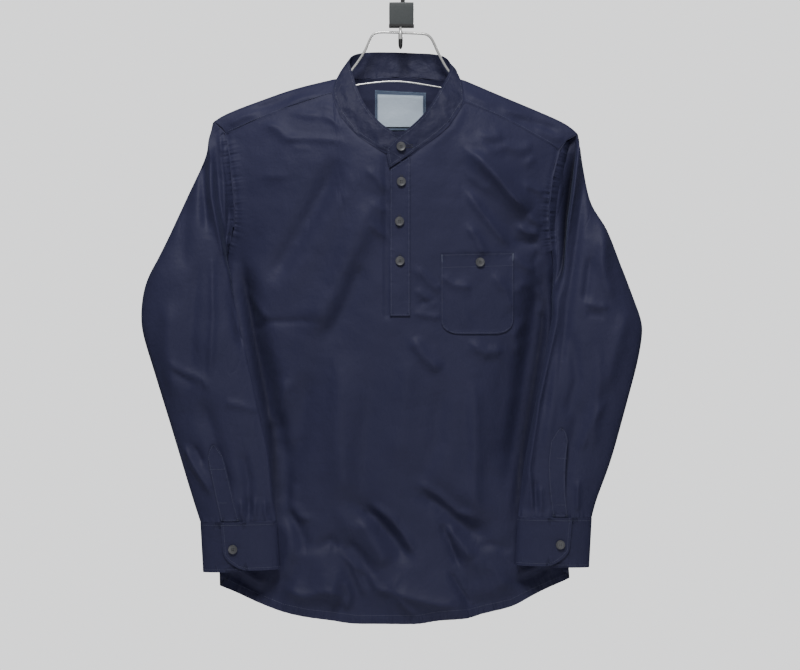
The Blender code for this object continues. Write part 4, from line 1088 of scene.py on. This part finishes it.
body = (front, back, yoke)
make_tapes("seam_allowances", [
    (sleeve_left, body, 9.0), (sleeve_right, body, 9.0), (front, (yoke,), 4.0), (back, (yoke,), 4.0),
    (collar, (front, yoke), 4.0), (yoke, (collar,), 4.0), (front, (back,), 2.5),
    (front, (collar,), 4.0), (cuff_left, (sleeve_left,), 4.0), (cuff_right, (sleeve_right,), 4.0),
])

# %% [markdown]
# ## Sewing
#
# A sewing machine leaves a row of short stitches, each pulled a little into the cloth. One
# stitch is modelled as a small oval bead, and thousands of copies of it are laid in rows. A
# row follows a cut edge of its piece at a set distance, and each stitch is dropped onto the
# cloth and turned to lie flat on it.

# %% Stitches
def bead_pattern():
    bpy.ops.object.select_all(action="DESELECT")
    bpy.ops.mesh.primitive_uv_sphere_add(segments=6, ring_count=4, radius=0.5)
    bead = bpy.context.object
    bpy.ops.object.mode_set(mode="EDIT")
    bpy.ops.mesh.select_all(action="SELECT")
    bpy.ops.transform.rotate(value=math.pi / 2, orient_axis="Y", center_override=(0, 0, 0))
    bpy.ops.object.mode_set(mode="OBJECT")
    places = np.array([v.co[:] for v in bead.data.vertices])
    faces = [p.vertices[:] for p in bead.data.polygons]
    bpy.data.objects.remove(bead)
    return places, faces


BEAD, BEAD_FACES = bead_pattern()


def spaced(row, pitch):
    """Places every `pitch` mm along a row of places."""
    row = np.asarray(row, float)
    lengths = np.concatenate([[0], np.cumsum(np.linalg.norm(np.diff(row, axis=0), axis=1))])
    marks = np.arange(pitch / 2, lengths[-1], pitch)
    return np.stack([np.interp(marks, lengths, row[:, i]) for i in range(3)], axis=1)


def drop(cloth, places, way, reach=9.0):
    """Where rays from outside along -way meet the cloth, in mm, with the cloth's normals."""
    met, normals = [], []
    for place, out in zip(places, way):
        out = Vector(out).normalized()
        hit, normal, _, _ = cloth.ray_cast(Vector(place * MM) + out * reach * MM, -out, 2 * reach * MM)
        if hit is not None:
            met.append(np.array(hit) / MM)
            normals.append(np.array(normal))
    return np.array(met), np.array(normals)


def thread_mesh(name, groups, material):
    """One mesh of all the stitches: groups of (places, normals, length, width)."""
    corners, faces, count = [], [], 0
    draw = np.random.default_rng(5)
    for places, normals, length, width in groups:
        if len(places) < 2:
            continue
        runs = np.gradient(places, axis=0)
        for place, normal, run in zip(places, normals, runs):
            side = np.cross(normal, run)
            side /= np.linalg.norm(side)
            ahead = np.cross(side, normal)
            ahead += side * draw.uniform(-0.08, 0.08)
            turn = np.stack([ahead * length, side * width, normal * width * 0.8])
            corners.append(BEAD @ turn + place + normal * width * 0.12)
            faces += [[count + i for i in face] for face in BEAD_FACES]
            count += len(BEAD)
    stitches = new_piece(name, np.concatenate(corners) * MM, faces)
    bpy.ops.object.shade_smooth()
    finish_piece(stitches, material, "navy_cotton")
    print(name, len(corners), "stitches")


def edge_row(cloth, rim, inset, out=None, pitch=2.7, length=2.0, width=0.42):
    """A row of stitches inside a cut edge. `out` is the side that it shows on, or the middle of
    a tube to face away from."""
    places, ways = rim
    runs = np.gradient(places, axis=0)
    sides = np.cross(runs, ways)
    sides /= np.linalg.norm(sides, axis=1)[:, None]
    aim = places - places.mean(axis=0) if out is None else np.broadcast_to(out, places.shape)
    sides *= np.sign(np.einsum("ij,ij->i", sides, aim))[:, None]
    row = places - ways * inset
    spots = spaced(row, pitch)
    nearest = np.argmin(np.linalg.norm(row[None] - spots[:, None], axis=2), axis=1)
    met, normals = drop(cloth, spots, sides[nearest])
    return met, normals, length, width


def line_row(cloth, row, pitch=2.7, length=2.0, width=0.42):
    """A row of stitches along places of the picture."""
    eye = Vector(camera.location)
    places, normals = [], []
    corners = np.array([(*seen_at(px, py, 0), 0) for px, py in row])
    for x, z, _ in spaced(corners, pitch):
        aim = (Vector((x * MM, 0, z * MM)) - eye).normalized()
        hit, normal, _, _ = cloth.ray_cast(eye, aim)
        if hit is not None:
            places.append(np.array(hit) / MM)
            normals.append(np.array(normal))
    return np.array(places), np.array(normals), length, width


FORWARD = (0.0, -1.0, 0.0)

# %% [markdown]
# The band, the pocket, the plackets and the cuffs are topstitched close to their edges. Rows
# that do not follow an edge are given as lines on the picture: above the yoke's seams, beside
# the armholes, along the hem, under the pocket's top, and across the sleeve plackets. Darker
# thread binds the buttonholes, and lighter thread holds the two top corners of the pocket.

# %% Topstitching
def all_rows(piece, inset, out=FORWARD, **looks):
    cloth = tree_of(piece)
    return [edge_row(cloth, rim, inset, out, **looks) for rim in RIMS[piece.name]]


thread_mesh("collar_stitches", all_rows(collar, 3.0, None), stitch_thread_painted_highlight)
thread_mesh("pocket_stitches", all_rows(pocket, 1.8), stitch_thread_painted_highlight)
thread_mesh("placket_stitches", all_rows(placket_over, 1.6), stitch_thread_painted_highlight)
thread_mesh("cuff_stitches", all_rows(cuff_left, 3.6, None) + all_rows(cuff_right, 3.6, None),
            stitch_thread_painted_highlight)
thread_mesh("vent_stitches", all_rows(vent_left, 1.5) + all_rows(vent_right, 1.5), stitch_thread_painted_highlight)
short = {"pitch": 1.8, "length": 1.3, "width": 0.35}
thread_mesh("label_stitches", all_rows(label, 1.0, **short) + all_rows(patch, 1.0, **short),
            label_thread)

SEWN_LINES = [
    (yoke, [(228, 131), (272, 112), (330, 92.5)]),
    (yoke, [(466, 99.5), (514, 121.5), (553, 143.5)]),
    (front, [(224, 578), (252, 591), (283, 604), (308, 609.5), (331, 612), (357, 615.5),
             (418, 615.5), (436, 612), (469, 609.5), (483, 605.5), (511, 599.5), (530, 589.5),
             (551, 580.5), (566, 574)]),
    (pocket, [(441.5, 267.5), (478, 266.5), (513.5, 265.5)]),
    (vent_left, [(209, 470), (224, 469)]),
    (vent_left, [(213, 503), (227, 503)]),
    (vent_right, [(557, 458), (573, 459)]),
    (vent_right, [(556, 505), (571, 505)]),
]


def rows_of(lines, *looks):
    return [line_row(tree_of(piece), line, *looks) for piece, line in lines]


thread_mesh("long_row_stitches", rows_of(SEWN_LINES), stitch_thread_painted_highlight)

BUTTONHOLES = [(collar, [(404, 145.4), (413, 144.8)]), (collar, [(404, 147.6), (413, 147.0)])]
for at_x, at_y in ((401.5, 181.4), (399.4, 221.3), (400, 261)):
    for aside in (-0.8, 0.8):
        BUTTONHOLES.append((placket_over, [(at_x + aside, at_y - 6.6), (at_x + aside, at_y + 6.6)]))
thread_mesh("buttonhole_stitches", rows_of(BUTTONHOLES, 0.8, 1.1, 0.8), dark_thread)

CORNERS = [(pocket, [(441.9, 254.6), (442.1, 262)]), (pocket, [(513.2, 253.4), (513.0, 260.5)])]
thread_mesh("pocket_corner_stitches", rows_of(CORNERS, 0.9, 1.6, 0.7), light_thread)

# %% [markdown]
# ## Buttons
#
# Each button is a dished horn disc with a rounded rim and four holes. One is modelled flat
# at the origin, and a copy of it goes where each of the frame's plain buttons is, turned to
# the same tilt.

# %% Buttons
BUTTON_RADIUS = 6.0
HOLE_OFF = 1.5


def button_pattern():
    bpy.ops.object.select_all(action="DESELECT")
    bpy.ops.mesh.primitive_cylinder_add(vertices=40, radius=BUTTON_RADIUS * MM, depth=2.4 * MM)
    disc = bpy.context.object
    disc.data.materials.append(horn)
    disc.data.materials.append(horn_rim)
    bpy.ops.object.mode_set(mode="EDIT")
    bpy.ops.mesh.select_mode(type="FACE")
    bpy.ops.mesh.select_all(action="DESELECT")
    mesh = bmesh.from_edit_mesh(disc.data)
    for face in mesh.faces:
        face.select = face.normal.z > 0.9
        face.material_index = 1 if abs(face.normal.z) < 0.5 else 0
    bmesh.update_edit_mesh(disc.data)
    bpy.ops.mesh.inset(thickness=1.5 * MM)
    bpy.ops.transform.translate(value=(0, 0, -0.55 * MM))
    bpy.ops.mesh.inset(thickness=0.8 * MM)
    bpy.ops.transform.translate(value=(0, 0, -0.25 * MM))
    bpy.ops.object.mode_set(mode="OBJECT")
    rounding = disc.modifiers.new("Round", "BEVEL")
    rounding.width = 0.45 * MM
    rounding.segments = 3
    rounding.limit_method = "ANGLE"
    rounding.angle_limit = math.radians(40)
    bpy.ops.object.modifier_apply(modifier="Round")
    for turn in range(4):
        angle = math.pi / 4 + turn * math.pi / 2
        spot = Vector((math.cos(angle), math.sin(angle), 0)) * HOLE_OFF * MM
        bpy.ops.object.select_all(action="DESELECT")
        bpy.ops.mesh.primitive_cylinder_add(vertices=14, radius=0.62 * MM, depth=8 * MM, location=spot)
        drill = bpy.context.object
        only(disc)
        hole = disc.modifiers.new("Hole", "BOOLEAN")
        hole.operation = "DIFFERENCE"
        hole.solver = "EXACT"
        hole.object = drill
        bpy.ops.object.modifier_apply(modifier="Hole")
        bpy.data.objects.remove(drill)
    bpy.ops.object.shade_smooth_by_angle(angle=math.radians(45))
    return disc


def place_buttons():
    pattern = button_pattern()
    for node in sorted(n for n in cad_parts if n.startswith("button_")):
        corners = np.array([v.co[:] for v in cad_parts[node].data.vertices]) / MM
        centre = (corners.min(axis=0) + corners.max(axis=0)) / 2
        axis = Vector(np.linalg.svd(corners - corners.mean(axis=0))[2][2])
        axis = axis if axis.y < 0 else -axis
        copy = pattern.copy()
        copy.data = pattern.data.copy()
        copy.name = node + "_horn"
        bpy.context.scene.collection.objects.link(copy)
        turn = axis.to_track_quat("Z", "Y").to_matrix()
        on_front = "cuff" not in node
        lift = float(front_push(centre[:1], centre[2:])[0]) if on_front else 0.0
        points = points_of(copy) @ np.array(turn).T + centre - (0, lift, 0)
        set_points(copy, points)
        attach(copy, "root")
        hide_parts(node)
        print(node, "at", [round(float(v), 1) for v in centre])
    bpy.data.objects.remove(pattern)


place_buttons()

# %% [markdown]
# ## Hanger and hook
#
# The hanger is bent wire. Its solids are copied and made round. The hook is a dark moulded
# block on a short stem, with a black strip round its foot and a bright pin that ends in a
# dark tip.

# %% Hanger and hook
ROUND, SQUARE = 80, 30
STRIP_HEIGHT, STRIP_UP = 2.4, 1.1


def make_hard(node, name, material, slot, sharp):
    """A copy made round between the edges that bend by more than `sharp` degrees."""
    piece = finer(node, name, 2, sharp)
    finish_piece(piece, material, slot, node)
    return piece


make_hard("hanger_wire", "hanger_wire_chrome", chrome, "chrome_wire", ROUND)
make_hard("hanger_rail", "hanger_rail_chrome", chrome, "chrome_wire", ROUND)
block = make_hard("hook_block", "hook_block_moulding", block_grey, "dark_block", SQUARE)
make_hard("hook_stem", "hook_stem_moulding", rubber, "black_rubber", SQUARE)
make_hard("hook_pin", "hook_pin_chrome", chrome, "chrome_wire", ROUND)
make_hard("hook_tip", "hook_tip_rubber", rubber, "black_rubber", ROUND)

low, high = points_of(block).min(axis=0), points_of(block).max(axis=0)
bpy.ops.object.select_all(action="DESELECT")
bpy.ops.mesh.primitive_cube_add(size=1)
strip = bpy.context.object
strip.name = "hook_block_strip"
size = (high - low) * (1, 1, 0) + (0.5, 0.5, STRIP_HEIGHT)
middle = (low + high) / 2 * (1, 1, 0) + (0, 0, low[2] + STRIP_UP)
set_points(strip, points_of(strip) * MM * size + middle)
finish_piece(strip, rubber, "black_rubber")
print("strip of", [round(float(v), 1) for v in size], "mm")
